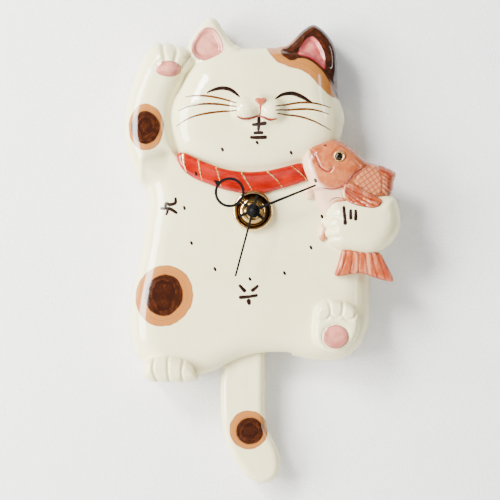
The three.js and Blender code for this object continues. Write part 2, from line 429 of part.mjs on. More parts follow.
// stator with the stepping coil on its leg
{
  const st = plate([[RX - 4, RZ - 5], [21.2, RZ - 5], [21.2, RZ + 14], [17.2, RZ + 14], [17.2, RZ + 3.4], [RX - 4, RZ + 3.4]], -11.6, -12.8, [rev(circlePts(RX, RZ, 2.6, 16))]);
  add('stator', st, 0xa8aab0, 0.4, 1);
}
{
  let b = box(15.6, 22.8, -15.4, -9.3, RZ + 4.2, RZ + 18).subtract(box(16.9, 21.5, -13.1, -11.3, RZ, RZ + 14.4));
  add('coil_bobbin', b, 0x9c4a22, 0.45, 0.4);
}
// rear plate that holds the arbors' back ends
{
  let b = plate(roundRect(-20, 14.6, -81.4, -58, 2), -9.9, -10.9);
  b = b.subtract(disc(1.5, -20, 0, KX, KZ, 12));
  add('gear_bridge', b, 0x2a2a2d, 0.5, 0);
}
{
  let b = plate([[-9, -136], [24, -136], [24, -50], [16, -50], [16, -92.5], [-9, -92.5]], -7.2, -8.2);
  b = b.subtract(disc(2.2, -20, 0, PIVOT_X, PIVOT_Z, 16));
  add('circuit_board', b, 0x6b5a2c, 0.5, 0);
  add('quartz_crystal', turned([[0, -8.8], [1.1, -8.8], [1.1, -14.6], [0, -14.6]], 18, -100, 14), 0xb8babf, 0.3, 1);
}
// battery and its contacts
{
  const bx = -19.1, by = -14.7, z0 = -137.3;
  const g = new THREE.LatheGeometry([[0, 0], [6.6, 0], [AA_R, 0.4], [AA_R, AA_L - 2], [6.4, AA_L - 1.2], [2.6, AA_L - 1.2], [2.6, AA_L], [0, AA_L]].map(([r, h]) => new THREE.Vector2(r, h)), 20);
  g.rotateX(Math.PI / 2);
  g.translate(bx, by, z0);
  add('battery', solid(g), 0x7e858c, 0.35, 0.6);
  add('contact_positive', box(bx - 5, bx + 5, -20, -6.8, -84.0, -83.5).add(box(bx - 1.6, bx + 1.6, by - 1.6, by + 1.6, -86.4, -83.8)).add(box(bx - 5, bx + 5, -7.3, -6.8, -89, -83.5)), 0xc4c6ca, 0.3, 1);
  add('contact_negative', box(bx - 5, bx + 5, -20, -6.8, -138.3, -137.8).add(box(bx - 5, bx + 5, -7.3, -6.8, -138.3, -131)), 0xc4c6ca, 0.3, 1);
}
// ---- pendulum -------------------------------------------------------------
add('pivot_pin', disc(1.0, -22.2, -9.0, PIVOT_X, PIVOT_Z, 16), 0xb8babf, 0.3, 1);
{
  let l = tube(2.6, 1.3, -16.6, -11.6, PIVOT_X, PIVOT_Z, 20);
  l = l.add(box(PIVOT_X - 2.3, PIVOT_X + 2.3, -16.0, -14.2, PIVOT_Z - 29, PIVOT_Z - 2.2));
  l = l.subtract(disc(1.3, -30, 0, PIVOT_X, PIVOT_Z, 20));
  l = l.add(disc(0.7, -15, -11.4, PIVOT_X, PIVOT_Z - 27, 12));
  add('pendulum_lever', l, 0xe6e2d6, 0.5, 0);
  add('pendulum_magnet', disc(3.4, -13.9, -12.2, PIVOT_X, PIVOT_Z - 16, 20), 0x8d9096, 0.35, 0.8);
  add('pendulum_coil', tube(5.6, 2, -11.0, -8.5, PIVOT_X, PIVOT_Z - 17, 24), 0x9c4a22, 0.45, 0.4);
  // wire rod with an eye that hangs on the lever's peg
  const eye = new THREE.TorusGeometry(2.4, 0.7, 6, 16);
  eye.rotateX(Math.PI / 2);
  eye.translate(PIVOT_X, ROD_Y, PIVOT_Z - 27 - 0.7);
  let rod = solid(eye);
  const c = new THREE.CylinderGeometry(ROD_R, ROD_R, 42, 12);
  c.rotateX(Math.PI / 2);
  c.translate(PIVOT_X, ROD_Y, PIVOT_Z - 30.2 - 21);
  rod = rod.add(solid(c));
  add('pendulum_rod', rod, 0xb9923f, 0.35, 1);
  const zTop = PIVOT_Z - 30.2 - 42;
  // ferrule set into the top of the tail
  const f = new THREE.LatheGeometry([[0, zTop - 2.2], [2.6, zTop - 2.2], [2.6, -156.5], [3.4, -156.5], [3.4, -155.3], [ROD_R + GAP, -155.3], [ROD_R + GAP, zTop - 0.4], [0, zTop - 0.4]].map(([r, h]) => new THREE.Vector2(r, h)), 16);
  f.rotateX(Math.PI / 2);
  f.translate(PIVOT_X, ROD_Y, 0);
  add('tail_anchor', solid(f), 0xb9923f, 0.35, 1);
  let t = pillow(TAIL, TAIL_BACK, TAIL_FRONT, TAIL_ROUND, TAIL_ROUND, 3, true);
  const h = new THREE.CylinderGeometry(2.9, 2.9, 60, 16);
  h.rotateX(Math.PI / 2);
  h.translate(PIVOT_X, ROD_Y, zTop - 2.5 + 30);
  t = t.subtract(solid(h));
  add('tail_bob', t, 0xe2dfd0, 0.12, 0);
}

export default group;
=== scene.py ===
import math

import bmesh
import bpy
import numpy as np
from mathutils import Matrix, Vector


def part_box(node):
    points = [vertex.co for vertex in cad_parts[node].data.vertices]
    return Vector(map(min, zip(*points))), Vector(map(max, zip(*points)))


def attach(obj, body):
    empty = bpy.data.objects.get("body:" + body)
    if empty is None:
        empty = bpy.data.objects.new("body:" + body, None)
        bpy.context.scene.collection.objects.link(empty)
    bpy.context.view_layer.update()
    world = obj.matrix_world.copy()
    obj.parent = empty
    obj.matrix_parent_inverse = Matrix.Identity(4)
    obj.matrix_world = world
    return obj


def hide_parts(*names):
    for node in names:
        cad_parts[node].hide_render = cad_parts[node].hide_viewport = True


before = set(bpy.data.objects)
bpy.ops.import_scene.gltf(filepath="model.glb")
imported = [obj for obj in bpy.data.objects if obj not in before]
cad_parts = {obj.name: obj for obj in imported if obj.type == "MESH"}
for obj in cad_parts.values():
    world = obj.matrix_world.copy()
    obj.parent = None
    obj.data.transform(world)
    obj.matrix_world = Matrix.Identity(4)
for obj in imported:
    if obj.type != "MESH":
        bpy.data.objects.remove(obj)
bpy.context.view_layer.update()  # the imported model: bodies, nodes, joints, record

MM = 0.001
HZ = -70.0  # height of the hands' axis, millimetres
BODY = "clock_body"
TAIL = "tail_pendulum"

# outlines of the ceramic body and what is applied to it, millimetres, (x, z) seen from the front
OUT = {
'torso': [(-71.1, -33.4), (-77.3, -38.3), (-77.3, -47.2), (-73.8, -55.5), (-72.8, -64.5), (-74.5, -77.6), (-77.3, -95.5), (-80.4, -110.7), (-83.8,
    -125.9), (-85.9, -143.8), (-85.2, -157.6), (-82.1, -168.7), (-76.6, -176.9), (-73.8, -184.5), (-65.5, -187.3), (-53.1, -187.6), (-42.1, -186.6),
    (-35.2, -185.2), (-28.3, -183.2), (-22.1, -180.4), (-15.2, -176.6), (-8.3, -173.5), (-0.7, -171.1), (7.6, -169.9), (15.9, -169.4), (24.1, -169.9),
    (31.7, -171.4), (39.3, -173.2), (47.6, -174.1), (55.9, -173.8), (62.8, -172.5), (69, -169), (74.5, -163.8), (78.7, -156.2), (81.1, -147.3), (81.8,
    -136.9), (81.4, -124.5), (82.1, -110.7), (86.2, -98.3), (91.1, -86.6), (91.8, -72.8), (87.6, -59), (79.3, -47.2), (68.3, -36.2), (53.1, -27.9),
    (32.4, -25.2), (-2.1, -23.1), (-36.6, -25.2), (-57.3, -27.9)],
'head': [(-40.7, 32.8), (-44.2, 28.3), (-47.3, 23.8), (-50.4, 17.3), (-53.8, 11.8), (-56.6, 6.6), (-58.4, 1.1), (-59.1, -5.8), (-58.5, -12), (-57.3,
    -17.6), (-55.5, -23.1), (-53.1, -28.6), (-48.3, -34.1), (-41.4, -38.3), (-32.4, -41.7), (-21.4, -44.5), (-9, -46.2), (4.8, -46.2), (18.6, -44.5),
    (32.4, -40.7), (44.8, -35.5), (54.5, -28.6), (60, -21.7), (61.8, -16.2), (62.8, -10.7), (63.5, -5.8), (62.7, -0.3), (60.7, 5.2), (59.5, 8.7),
    (58.6, 13.5), (58, 20.4), (55.2, 30), (47.6, 38.3), (36.6, 42.8), (24.1, 43.8), (10.3, 43.6), (-2.1, 43.2), (-11.7, 43.2), (-21.4, 41.8), (-31.7,
    39)],
'ear_l': [(-46.2, 41.1), (-43.5, 48.7), (-40, 54.5), (-36.6, 59.4), (-33.1, 62.8), (-30, 64.5), (-27.3, 64.2), (-24.1, 61.8), (-21.4, 57.3), (-18.6,
    52.8), (-15.9, 49), (-12.8, 45.9), (-8.3, 43.2), (-11.7, 36.9), (-21.4, 32.1), (-33.1, 29.4), (-41.4, 32.1)],
'ear_r': [(17.9, 43.2), (22.8, 44.9), (26.9, 48.3), (30.4, 51.8), (33.8, 55.2), (37.3, 57.8), (40, 59.3), (42.8, 59.6), (45.5, 58.3), (49, 55.6),
    (52.4, 51.8), (55.2, 47.6), (57.3, 42.8), (58.4, 36.9), (58.6, 30), (58.4, 23.1), (57.6, 16.2), (53.1, 17.6), (44.8, 25.9), (32.4, 32.8), (23.5,
    35.6)],
'arm_up': [(-60, -32.7), (-71.1, -40.3), (-77.3, -47.9), (-82.5, -40.3), (-86.2, -31.4), (-88.7, -21.7), (-89.5, -12), (-88.8, -2.4), (-86.9, 7.3),
    (-84.5, 16.2), (-81.4, 25.2), (-77.6, 34.2), (-73.8, 41.1), (-69.3, 45.6), (-63.5, 47.1), (-56.6, 46.4), (-50.4, 44.7), (-45.2, 42.7), (-41.7,
    39.4), (-39.8, 35.2), (-40.4, 31.1), (-43.1, 28), (-46.6, 23.5), (-49, 16.2), (-51.7, 10), (-54.2, 2.4), (-54.9, -5.8), (-54.5, -12.7), (-53.1,
    -19.6), (-51.7, -26.5), (-53.8, -32.1)],
'arm_hold': [(53.8, -63.4), (57.3, -61.7), (63.5, -61.4), (73.8, -60.3), (84.9, -59.6), (93.1, -59.3), (97.6, -61), (100, -65.9), (101.4, -71.4),
    (101.7, -77.6), (100.7, -83.8), (97.6, -90), (92.8, -95.2), (87.6, -98.6), (81.4, -100.2), (73.8, -99.7), (66.9, -98.2), (60, -96.9), (55.2,
    -94.8), (51.7, -92.1), (49.5, -88.6), (48.2, -83.8), (47.8, -79), (48.9, -74.1), (50, -69.3), (51.7, -65.9)],
'foot_l': [(-75.9, -177.6), (-74.2, -173.8), (-69.7, -171.4), (-62.8, -170.4), (-55.9, -170.6), (-49.7, -172), (-44.2, -174.5), (-40, -178), (-37.8,
    -182.5), (-38.1, -185.6), (-41.7, -187), (-50.4, -188.1), (-64.2, -188.1), (-72.1, -186.8), (-75.7, -183.5)],
'foot_r': [(46.2, -134.5), (49.7, -132.7), (54.2, -131.5), (58.6, -132), (63.5, -132.8), (68.3, -134.9), (71.1, -138.3), (72.9, -143.8), (73.1,
    -149.3), (71.8, -154.9), (68.3, -160.4), (63.5, -164.9), (58.6, -167.2), (53.1, -167.5), (47.3, -165.9), (43.1, -162.1), (41.4, -156.2), (41.6,
    -149.3), (42.1, -143.8), (42.2, -139.7), (43.7, -136.8)],
'fish': [(33.9, -39), (34.5, -33.4), (36.7, -28.6), (40, -25.3), (44.8, -23.6), (49.7, -22), (55.2, -21.1), (60, -21.8), (64.9, -24.5), (70.4, -28.6),
    (75.2, -33.2), (79.3, -36.2), (83.5, -37.3), (89, -38.7), (94.5, -40.9), (98.2, -43.1), (98.8, -45.5), (97.5, -50), (97, -54.1), (95.4, -58.6),
    (92.5, -61), (88.3, -63.1), (85.6, -65.6), (80.7, -67.5), (74.5, -67.9), (68.3, -67.9), (62.8, -69.3), (55.9, -73.5), (50.4, -75.5), (46.9,
    -71.4), (44.2, -65.9), (41.9, -59.6), (40, -53.4), (37.6, -47.6), (35.3, -43.1)],
'fish_tail': [(60.7, -97.9), (63.5, -96.6), (67.6, -95.9), (75.2, -96.6), (82.8, -96.9), (88.3, -100), (89.9, -102.8), (92, -106.9), (94.5, -111.7),
    (96.6, -116.8), (95.4, -118.9), (91.8, -118.3), (86.2, -116.9), (82.1, -115.5), (78, -114), (73.8, -113.2), (69, -113.7), (63.5, -114.5), (58.6,
    -115), (56, -113.7), (57.3, -109.3), (59.1, -103.8)],
'lobe1': [(36.2, -54.1), (35.2, -56.9), (35.4, -59.6), (37.6, -61.2), (40.4, -61), (42.1, -59.3), (41.7, -54.8), (38.6, -52.8)],
'lobe2': [(48, -77.6), (45.9, -81), (44.8, -85.2), (45.1, -88.6), (47.3, -90.6), (50, -90.1), (51.4, -86.6), (50.4, -81)],
'collar': [(-52.9, -33.4), (-52.3, -30.8), (-49.3, -29.4), (-45.5, -30.5), (-36.6, -34.8), (-29.7, -37.6), (-22.8, -40.1), (-15.9, -41.8), (-9,
    -42.7), (-2.1, -43.1), (4.8, -42.7), (11.7, -41.8), (18.6, -40.3), (25.5, -38.5), (30.4, -37.2), (33.5, -37), (35.4, -39), (36.8, -43.1), (37.4,
    -46.9), (35.9, -49.4), (32.4, -50.8), (25.5, -53), (18.6, -55), (11.7, -56.8), (5.5, -58), (-0.7, -58.4), (-7.6, -57.8), (-15.9, -56.3), (-22.8,
    -54.3), (-29.7, -51.9), (-36.6, -49.3), (-43.1, -46), (-47.6, -42.4), (-51.1, -37.9)],
'tail': [(-21, -167.3), (-21.7, -181.1), (-22.6, -190.1), (-22.6, -200.4), (-22.1, -212.8), (-20.4, -225.2), (-17.6, -234.2), (-14.1, -241.8), (-10,
    -248.7), (-5.2, -254.6), (-0.7, -257.9), (4.1, -259.9), (9, -259.9), (13.5, -258.2), (16.9, -254.9), (18.9, -250.1), (19.2, -244.6), (18.1,
    -238.4), (15.5, -232.1), (12.3, -226.6), (9.9, -221.1), (8.7, -214.2), (8.3, -203.9), (8.3, -190.1), (8.4, -176.3), (8.5, -167.3), (6.2, -162.5),
    (1.4, -159.7), (-6.2, -158.7), (-13.8, -159.7), (-18.6, -162.5)],
'ear_l_pink': [(-31, 56.3), (-26.9, 54.9), (-23.5, 50.1), (-21.4, 43.8), (-22.1, 40.4), (-27.6, 36.9), (-33.1, 34.9), (-37.9, 36.3), (-41.4, 40.4),
    (-41.4, 45.2), (-38.6, 50.7), (-35.2, 54.9)],
'ear_r_pink': [(41.4, 50.7), (44.8, 48), (47.6, 43.2), (49.7, 37.6), (50.2, 32.8), (49.3, 27.6), (44.8, 31.4), (39.3, 35.2), (34.5, 36.9), (31, 38),
    (31.7, 41.1), (33.1, 44.2), (35.9, 48), (38.6, 50.1)],
'orange': [(6.2, 48), (9, 43.5), (11.4, 38), (15.9, 33.3), (22.1, 29.9), (29, 27.8), (33.8, 26.5), (37.9, 23.7), (42.1, 19.6), (46.2, 14.9), (51.1,
    10.7), (55.9, 8.2), (63.5, 7.3), (68.3, 13.5), (68.3, 48), (53.1, 61.8), (32.4, 61.8)],
'brown_r': [(19, 41.1), (21.4, 43), (25.5, 45.1), (29, 48.8), (32.4, 53.6), (37.3, 59), (42.1, 62.5), (49.7, 61.8), (63.5, 48), (66.9, 27.3), (64.2,
    9.3), (59, 8.3), (55.5, 12.1), (53.8, 17.3), (51.1, 21.4), (48.3, 25.6), (45.5, 28.7), (40.7, 32.5), (35.9, 34.9), (31.7, 35.2), (29.3, 33.8),
    (26.2, 33.6), (22.8, 35.2), (20, 37.8)],
}
# brush strokes: (points, widths), millimetres
STROKES = {
    'whiskers': [
([(-11.4, 3.6), (-17.2, 5.6), (-22.8, 7.1), (-29.7, 8.4), (-36.6, 9), (-42.1, 8.9), (-46.6, 8.4)], [0.62, 1.03, 1.17, 1.24, 1.1, 0.83, 0.41]),
([(-11.4, 1.1), (-19.3, 2.4), (-26.2, 3.1), (-34.5, 3.1), (-43.5, 1.8), (-48.3, 0.2), (-51.4, -1.3)], [0.62, 1.03, 1.24, 1.17, 1.03, 0.69, 0.41]),
([(-11.4, -1.7), (-21.4, -2.1), (-30.4, -3.1), (-40, -5.1), (-46.9, -7.9), (-52.8, -11.6)], [0.62, 1.1, 1.24, 1.1, 0.76, 0.41]),
([(15.5, 1.1), (22.1, 2.4), (29, 3.7), (35.9, 4.2), (42.8, 3.6), (48.3, 2.4), (53.5, 0.9)], [0.62, 1.03, 1.17, 1.24, 1.1, 0.83, 0.41]),
([(15.5, -1.6), (25.5, -0.9), (34.5, -0.4), (42.8, -1), (52.1, -3.6)], [0.62, 1.1, 1.31, 0.97, 0.41]),
([(16.6, -3.8), (24.1, -4.5), (32.4, -5.6), (40.7, -8.2), (47.6, -11.4), (53.5, -14.5)], [0.62, 0.97, 1.1, 1.03, 0.76, 0.41]),
    ],
    'eyes': [
([(-31.3, 11), (-28.3, 12.4), (-24.1, 13.7), (-20, 14), (-15.9, 13.1), (-12.4, 10.9), (-9.5, 8.2)], [0.97, 1.79, 2.35, 2.55, 2.42, 2.07, 1.24]),
([(15.5, 6.6), (19.3, 9.2), (23.5, 10.3), (27.6, 10.3), (31.7, 8.9), (35.9, 6.7), (40, 4.2)], [1.1, 2, 2.48, 2.76, 2.69, 2.28, 1.24]),
    ],
    'mouth': [
([(5.1, 2.1), (5, -1), (4.6, -4.9)], [1.03, 0.97, 0.97]),
([(-10.6, -5.6), (-7.6, -7.1), (-3.4, -7.2), (0.7, -6.2), (4.3, -4.9)], [0.69, 1.1, 1.31, 1.24, 1.03]),
([(4.3, -4.9), (7.6, -6.4), (11.7, -7.9), (16.1, -7.3)], [1.03, 1.24, 1.24, 0.69]),
    ],
    'numerals': [
([(0.2, -11.1), (4.1, -10.8), (8.1, -10.2)], [1.1, 1.31, 1.45]),
([(4, -6.9), (3.9, -10.7), (3.7, -14.3)], [1.38, 1.24, 0.9]),
([(1.2, -16.7), (3.4, -16.5), (6, -16.5)], [1.1, 1.24, 1.31]),
([(-1.2, -19.7), (3.4, -19.8), (8.4, -19.6)], [1.1, 1.31, 1.45]),
([(-9, -121.5), (-7.6, -123.1), (-5.9, -124.9)], [0.83, 1.24, 1.45]),
([(3, -121.8), (1.7, -123.1), (-0.3, -124.6)], [0.83, 1.24, 1.38]),
([(-8.6, -129.5), (-3.4, -129.1), (2.3, -128.2)], [1.38, 1.24, 1.17]),
([(-3, -132), (-2.6, -133.6)], [1.66, 1.38]),
([(62.1, -67.7), (62.4, -72.8), (62.9, -78.6)], [1.1, 1.24, 1.45]),
([(66.7, -69.9), (66.6, -72.1), (66.7, -75.1)], [1.03, 1.24, 1.31]),
([(70.1, -70.1), (70.1, -72.8), (70, -75.8)], [1.03, 1.24, 1.31]),
([(-53.4, -61.4), (-53.7, -64.5), (-57.3, -65.6), (-60, -64.9), (-60.6, -67.5)], [0.9, 1.24, 1.24, 1.24, 0.97]),
([(-63.3, -68.2), (-58.6, -68.2), (-55.9, -69.2), (-52.9, -71.2)], [0.97, 1.24, 1.31, 1.03]),
([(-58.9, -69), (-59.2, -70.7), (-59.8, -72.3)], [1.03, 1.1, 0.83]),
    ],
    'bream_lines': [
([(39.1, -27.6), (42.1, -31.4), (44.2, -36.2), (46.2, -40.3), (49.7, -42.8), (52.7, -42.9), (54.5, -40.7)], [0.83, 1.03, 1.1, 1.1, 1.1, 1.03, 0.69]),
([(48.6, -54.5), (54.5, -55.2), (60, -53.9), (64.2, -51.1), (67.6, -46.5), (71.1, -43.1), (74.9, -41.2)], [0.69, 0.9, 1.03, 1.1, 1.1, 1.03, 0.69]),
([(48.7, -25.3), (50.1, -25.7)], [1.1, 1.1]),
    ],
    'foot_lines': [
([(45.9, -145.1), (49, -144.9), (51.3, -143.8), (52.9, -141.1), (53.1, -137.6), (51.7, -134.6)], [0.83, 1.03, 1.1, 1.1, 1.03, 0.76]),
([(53.4, -141.5), (55.2, -142.7), (57.5, -143.1), (60, -141.8), (61.3, -139), (61.4, -135.1)], [0.83, 1.03, 1.1, 1.1, 1.03, 0.76]),
([(61.3, -142.2), (62.8, -144), (65, -144.9), (67.6, -144.5), (69.3, -142.9), (69.8, -140.4)], [0.83, 1.03, 1.1, 1.1, 1.03, 0.76]),
([(68.3, -145.2), (70.4, -144.2), (72.3, -142.8)], [0.97, 0.97, 0.69]),
    ],
}
HOUR_DOTS = [(2.8, -23.2, 1.31, 0.9), (26.2, -30, 1.17, 1.17), (42.8, -49.3, 1.17, 1.1), (47.6, -73.8, 1.03, 1.24), (40, -95.2, 1.17, 1.1), (21.7,
    -112.8, 1.24, 1.1), (-2.1, -116.9, 1.31, 0.97), (-26.2, -110, 1.24, 1.1), (-42.4, -92.1, 1.17, 1.1), (-47.3, -67.9, 1.03, 1.31), (-39.3, -44.5,
    1.17, 1.17), (-21, -27.9, 1.17, 1.17)]
COLLAR_LINES = [[(-48.3, -29.7), (-47.6, -36.9), (-46, -43.8)], [(-37.5, -34.4), (-36.6, -41.7), (-34.9, -49.7)], [(-25.1, -39.4), (-23.5, -45.9),
    (-21.8, -54.4)], [(-7.6, -43), (-4.1, -50), (0.7, -58)], [(10.1, -42.1), (15.2, -47.6), (20.3, -54.1)], [(26.9, -38.5), (32.4, -43.8), (37.5,
    -49)]]
GROOVES = {
'paw': [[(-62.6, 48), (-62.4, 43.8), (-61.7, 39), (-60.5, 33.8)], [(-54.8, 47.3), (-54.1, 43.8), (-52.7, 39), (-54, 33.5)], [(-43.1, 37.6), (-45.5,
    34.2), (-49, 29.9)]],
'hold': [[(46.9, -74.6), (51.7, -74.4), (55.9, -74.3), (60, -75.9)], [(46.2, -82.4), (51.7, -82), (56.6, -82.1)], [(48.3, -90), (53.1, -88.5), (58.6,
    -88.2)]],
'foot_l_grooves': [[(-67.5, -168.7), (-68.3, -173.5), (-68.6, -179.7), (-66.9, -184.5), (-64.9, -188.7)], [(-58.2, -168.7), (-58.5, -173.5), (-58.5,
    -179.7), (-57.8, -184.5), (-56.9, -190.1)], [(-47.5, -170.1), (-48.2, -174.9), (-49, -179.7), (-48.7, -184.5), (-47.3, -189.4)], [(-42.8, -174.2),
    (-40.4, -177.6), (-38.9, -181.8), (-37.3, -186.6)]],
'foot_r_grooves': [[(44.2, -145.5), (49, -144.9), (51.3, -143.8), (52.9, -141.1), (53.1, -137.6), (51.5, -132.1)], [(53.4, -141.5), (55.2, -142.7),
    (57.5, -143.1), (60, -141.8), (61.3, -139), (61.7, -131.4)], [(61.3, -142.2), (62.8, -144), (65, -144.9), (67.6, -144.5), (69.3, -142.9), (70.2,
    -140.6)]],
'fish_mouth': [[(37.3, -26.9), (39.1, -27.6), (42.1, -31.4), (44.2, -36.2), (46.2, -40.3), (49.7, -42.8), (52.7, -42.9), (54.5, -40.7)]],
'fin_edge': [[(60.7, -55.9), (62.8, -61.7), (66.9, -63.8), (72.4, -66.5)], [(68.3, -50), (71.8, -52.8), (76.6, -56.2), (81.4, -59.6), (85.6, -62.4)],
    [(69.3, -51.7), (71.1, -46.9), (74.5, -42.1)], [(86.2, -38.3), (88.3, -47.2), (88.7, -55.5), (86.9, -61.7)]],
'fin_rays': [[(63.5, -56.2), (68.3, -59.6), (74.5, -64.5)], [(64.9, -54.8), (71.1, -58.3), (78, -64.1)], [(66.2, -53.4), (73.1, -57.2), (80.7,
    -62.8)], [(83.5, -38.3), (90.4, -41), (97.6, -44.1)], [(84.9, -40.7), (91.8, -44.1), (98, -47.2)], [(86.2, -43.4), (92.5, -47.2), (97.6, -50)],
    [(87.3, -46.5), (92.8, -50.3), (97.3, -53.1)], [(88.3, -50), (92.8, -53.4), (96.6, -56.2)], [(88.7, -53.4), (92.1, -56.5), (95.2, -59)], [(88.7,
    -56.9), (90.7, -59.3), (92.5, -61.4)]],
'tail_rays': [[(64.9, -96.2), (62.8, -105.2), (59.7, -114.2)], [(69, -96.9), (68, -105.2), (66.6, -113.8)], [(73.1, -96.9), (72.8, -105.2), (72.4,
    -113.1)], [(76.9, -96.9), (77.6, -105.2), (79, -113.8)], [(80.7, -96.9), (82.8, -105.9), (85.6, -115.9)], [(84.5, -98.3), (88, -107.3), (91.4,
    -117.3)]],
}
for _k, _v in {
'gill_side': [(29.7, -21), (39.3, -15.5), (63.5, -15.5), (78, -27.9), (81.4, -34.8), (75.2, -40.7), (71.1, -43.1), (67.6, -46.5), (64.2, -51), (60,
    -53.9), (54.5, -55.2), (49, -54.7), (42.1, -55.5), (32.4, -55.5)],
'scales': [(68.3, -50), (71.1, -45.2), (74.5, -41.4), (79.3, -38.6), (84.9, -37.9), (87.3, -43.1), (88.3, -50), (88, -56.9), (85.6, -62.4), (80.7,
    -59.3), (75.2, -55.5), (71.1, -52.8)],
'fins': [(86.2, -36.9), (90.4, -38.3), (99.4, -42.4), (100, -50), (96.6, -61), (91.8, -63.8), (87.6, -63.1), (88.7, -55.5), (88.3, -47.2)],
'belly': [(32.4, -25.2), (38.6, -25.8), (38.6, -31.4), (40, -36.9), (42.1, -43.1), (44.8, -49.3), (49, -53.4), (55.2, -55.5), (61.4, -55.5), (62.1,
    -61), (57.3, -62.4), (53.8, -66.5), (51.7, -72.1), (50.4, -81.7), (39.3, -90), (32.4, -62.4)],
}.items():
    OUT[_k] = _v
NOSE = [(1.1, 5.5), (2.2, 6.9), (4.1, 7), (5.2, 6.5), (6.5, 7.1), (8.3, 7), (9.2, 5.8), (8.3, 4.1), (6.6, 2.4), (5.2, 1.3), (3.9, 2.3), (2.2, 3.8)]
EYE = (59.1, -32.7)
COLLAR_LINES_W = [([(-48.3, -30.1), (-47.6, -36.9), (-46, -43.1)], [1.59, 1.38, 0.62]), ([(-37.5, -35.1), (-36.6, -41.7), (-35.1, -48.9)], [1.24,
    0.97, 0.48]), ([(-25.1, -40.2), (-23.5, -45.9), (-21.9, -53.3)], [1.31, 0.9, 0.41]), ([(-7.6, -43.8), (-4.1, -50), (0.4, -57)], [1.31, 0.9,
    0.55]), ([(10.1, -43), (15.2, -47.6), (19.9, -53.4)], [1.1, 0.83, 0.62]), ([(26.9, -39.4), (32.4, -43.8), (36.7, -48.3)], [0.9, 0.69, 0.55])]

OUT["fan"] = [(64.2, -51.6), (67.5, -51.4), (72.5, -53.2), (78.0, -56.6), (84.0, -60.0), (88.3, -62.6), (86.2, -66.4), (82.2, -67.9), (78.0, -67.2),
    (73.8, -66.4), (69.4, -64.9), (65.4, -63.4), (62.2, -60.6), (62.0, -56.6), (62.4, -53.2)]
GROOVES["fan_rays"] = [[(64.6, -54.2), (70.5, -57.0), (78.5, -60.8), (86.5, -64.2)], [(64.2, -55.6), (70.0, -59.2), (77.0, -63.0), (83.5, -66.8)],
    [(63.8, -57.0), (68.5, -60.8), (73.5, -64.2), (77.5, -66.4)], [(63.4, -58.4), (66.4, -61.2), (69.8, -64.2)]]
STROKES["fin_outline"] = [([(52.5, -63.6), (54.9, -61.7), (58.2, -61.0), (62.3, -61.6)], [0.4, 0.75, 0.6, 0.3]),
    ([(62.6, -61.4), (66.2, -64.0), (71.0, -66.0), (76.2, -67.2), (81.9, -67.9), (86.2, -66.6), (88.3, -63.0)], [0.4, 0.7, 0.8, 0.75, 0.7, 0.5, 0.3])]


# ---------------------------------------------------------------- fields
def spline(pts, n=6, closed=True):
    """Catmull-Rom curve through the points, n steps to a span."""
    P = np.array(pts, float)
    m = len(P)
    t = (np.arange(n) / n)[:, None]
    out = []
    for i in range(m if closed else m - 1):
        if closed:
            a, b, c, d = P[i - 1], P[i], P[(i + 1) % m], P[(i + 2) % m]
        else:
            a, b, c, d = P[max(i - 1, 0)], P[i], P[i + 1], P[min(i + 2, m - 1)]
        out.append(0.5 * (2 * b + (c - a) * t + (2 * a - 5 * b + 4 * c - d) * t**2 + (3 * b - a - 3 * c + d) * t**3))
    out = np.concatenate(out)
    return out if closed else np.concatenate([out, P[-1:]])


def polygon_distance(X, Z, P):
    """Signed distance to a closed outline, negative inside."""
    d = np.full(X.shape, 1e12)
    inside = np.zeros(X.shape, bool)
    for i in range(len(P)):
        ax, az = P[i - 1]
        bx, bz = P[i]
        ex, ez = bx - ax, bz - az
        wx, wz = X - ax, Z - az
        l2 = ex * ex + ez * ez
        if l2 < 1e-12:
            continue
        t = np.clip((wx * ex + wz * ez) / l2, 0, 1)
        d = np.minimum(d, (wx - ex * t) ** 2 + (wz - ez * t) ** 2)
        if az != bz:
            hit = ((az > Z) != (bz > Z)) & (X < ex * (Z - az) / ez + ax)
            inside ^= hit
    d = np.sqrt(d)
    return np.where(inside, -d, d)


def line_distance(X, Z, P):
    d = np.full(X.shape, 1e12)
    for i in range(len(P) - 1):
        ax, az = P[i]
        ex, ez = P[i + 1][0] - ax, P[i + 1][1] - az
        wx, wz = X - ax, Z - az
        t = np.clip((wx * ex + wz * ez) / max(ex * ex + ez * ez, 1e-12), 0, 1)
        d = np.minimum(d, (wx - ex * t) ** 2 + (wz - ez * t) ** 2)
    return np.sqrt(d)


class Maps:
    """Distances to flat outlines, kept on a fine sheet and read back anywhere."""

    def __init__(self, x0, x1, z0, z1, h):
        self.x0, self.z0, self.h = x0, z0, h
        self.xs = np.arange(x0, x1 + h, h)
        self.zs = np.arange(z0, z1 + h, h)
        self.X, self.Z = np.meshgrid(self.xs, self.zs, indexing="ij")
        self.a = {}

    def add(self, name, values):
        self.a[name] = values.astype(np.float32)

    def outline(self, name, pts, n=5):
        self.add(name, polygon_distance(self.X, self.Z, spline(pts, n)))

    def get(self, name, x, z):
        a = self.a[name]
        u = np.clip((x - self.x0) / self.h, 0, a.shape[0] - 1.001)
        v = np.clip((z - self.z0) / self.h, 0, a.shape[1] - 1.001)
        i, j = u.astype(np.int32), v.astype(np.int32)
        u, v = u - i, v - j
        return (a[i, j] * (1 - u) + a[i + 1, j] * u) * (1 - v) + (a[i, j + 1] * (1 - u) + a[i + 1, j + 1] * u) * v


def smin(a, b, k):
    h = np.maximum(k - np.abs(a - b), 0) / k
    return np.minimum(a, b) - h * h * k * 0.25


def smax(a, b, k):
    return -smin(-a, -b, k)


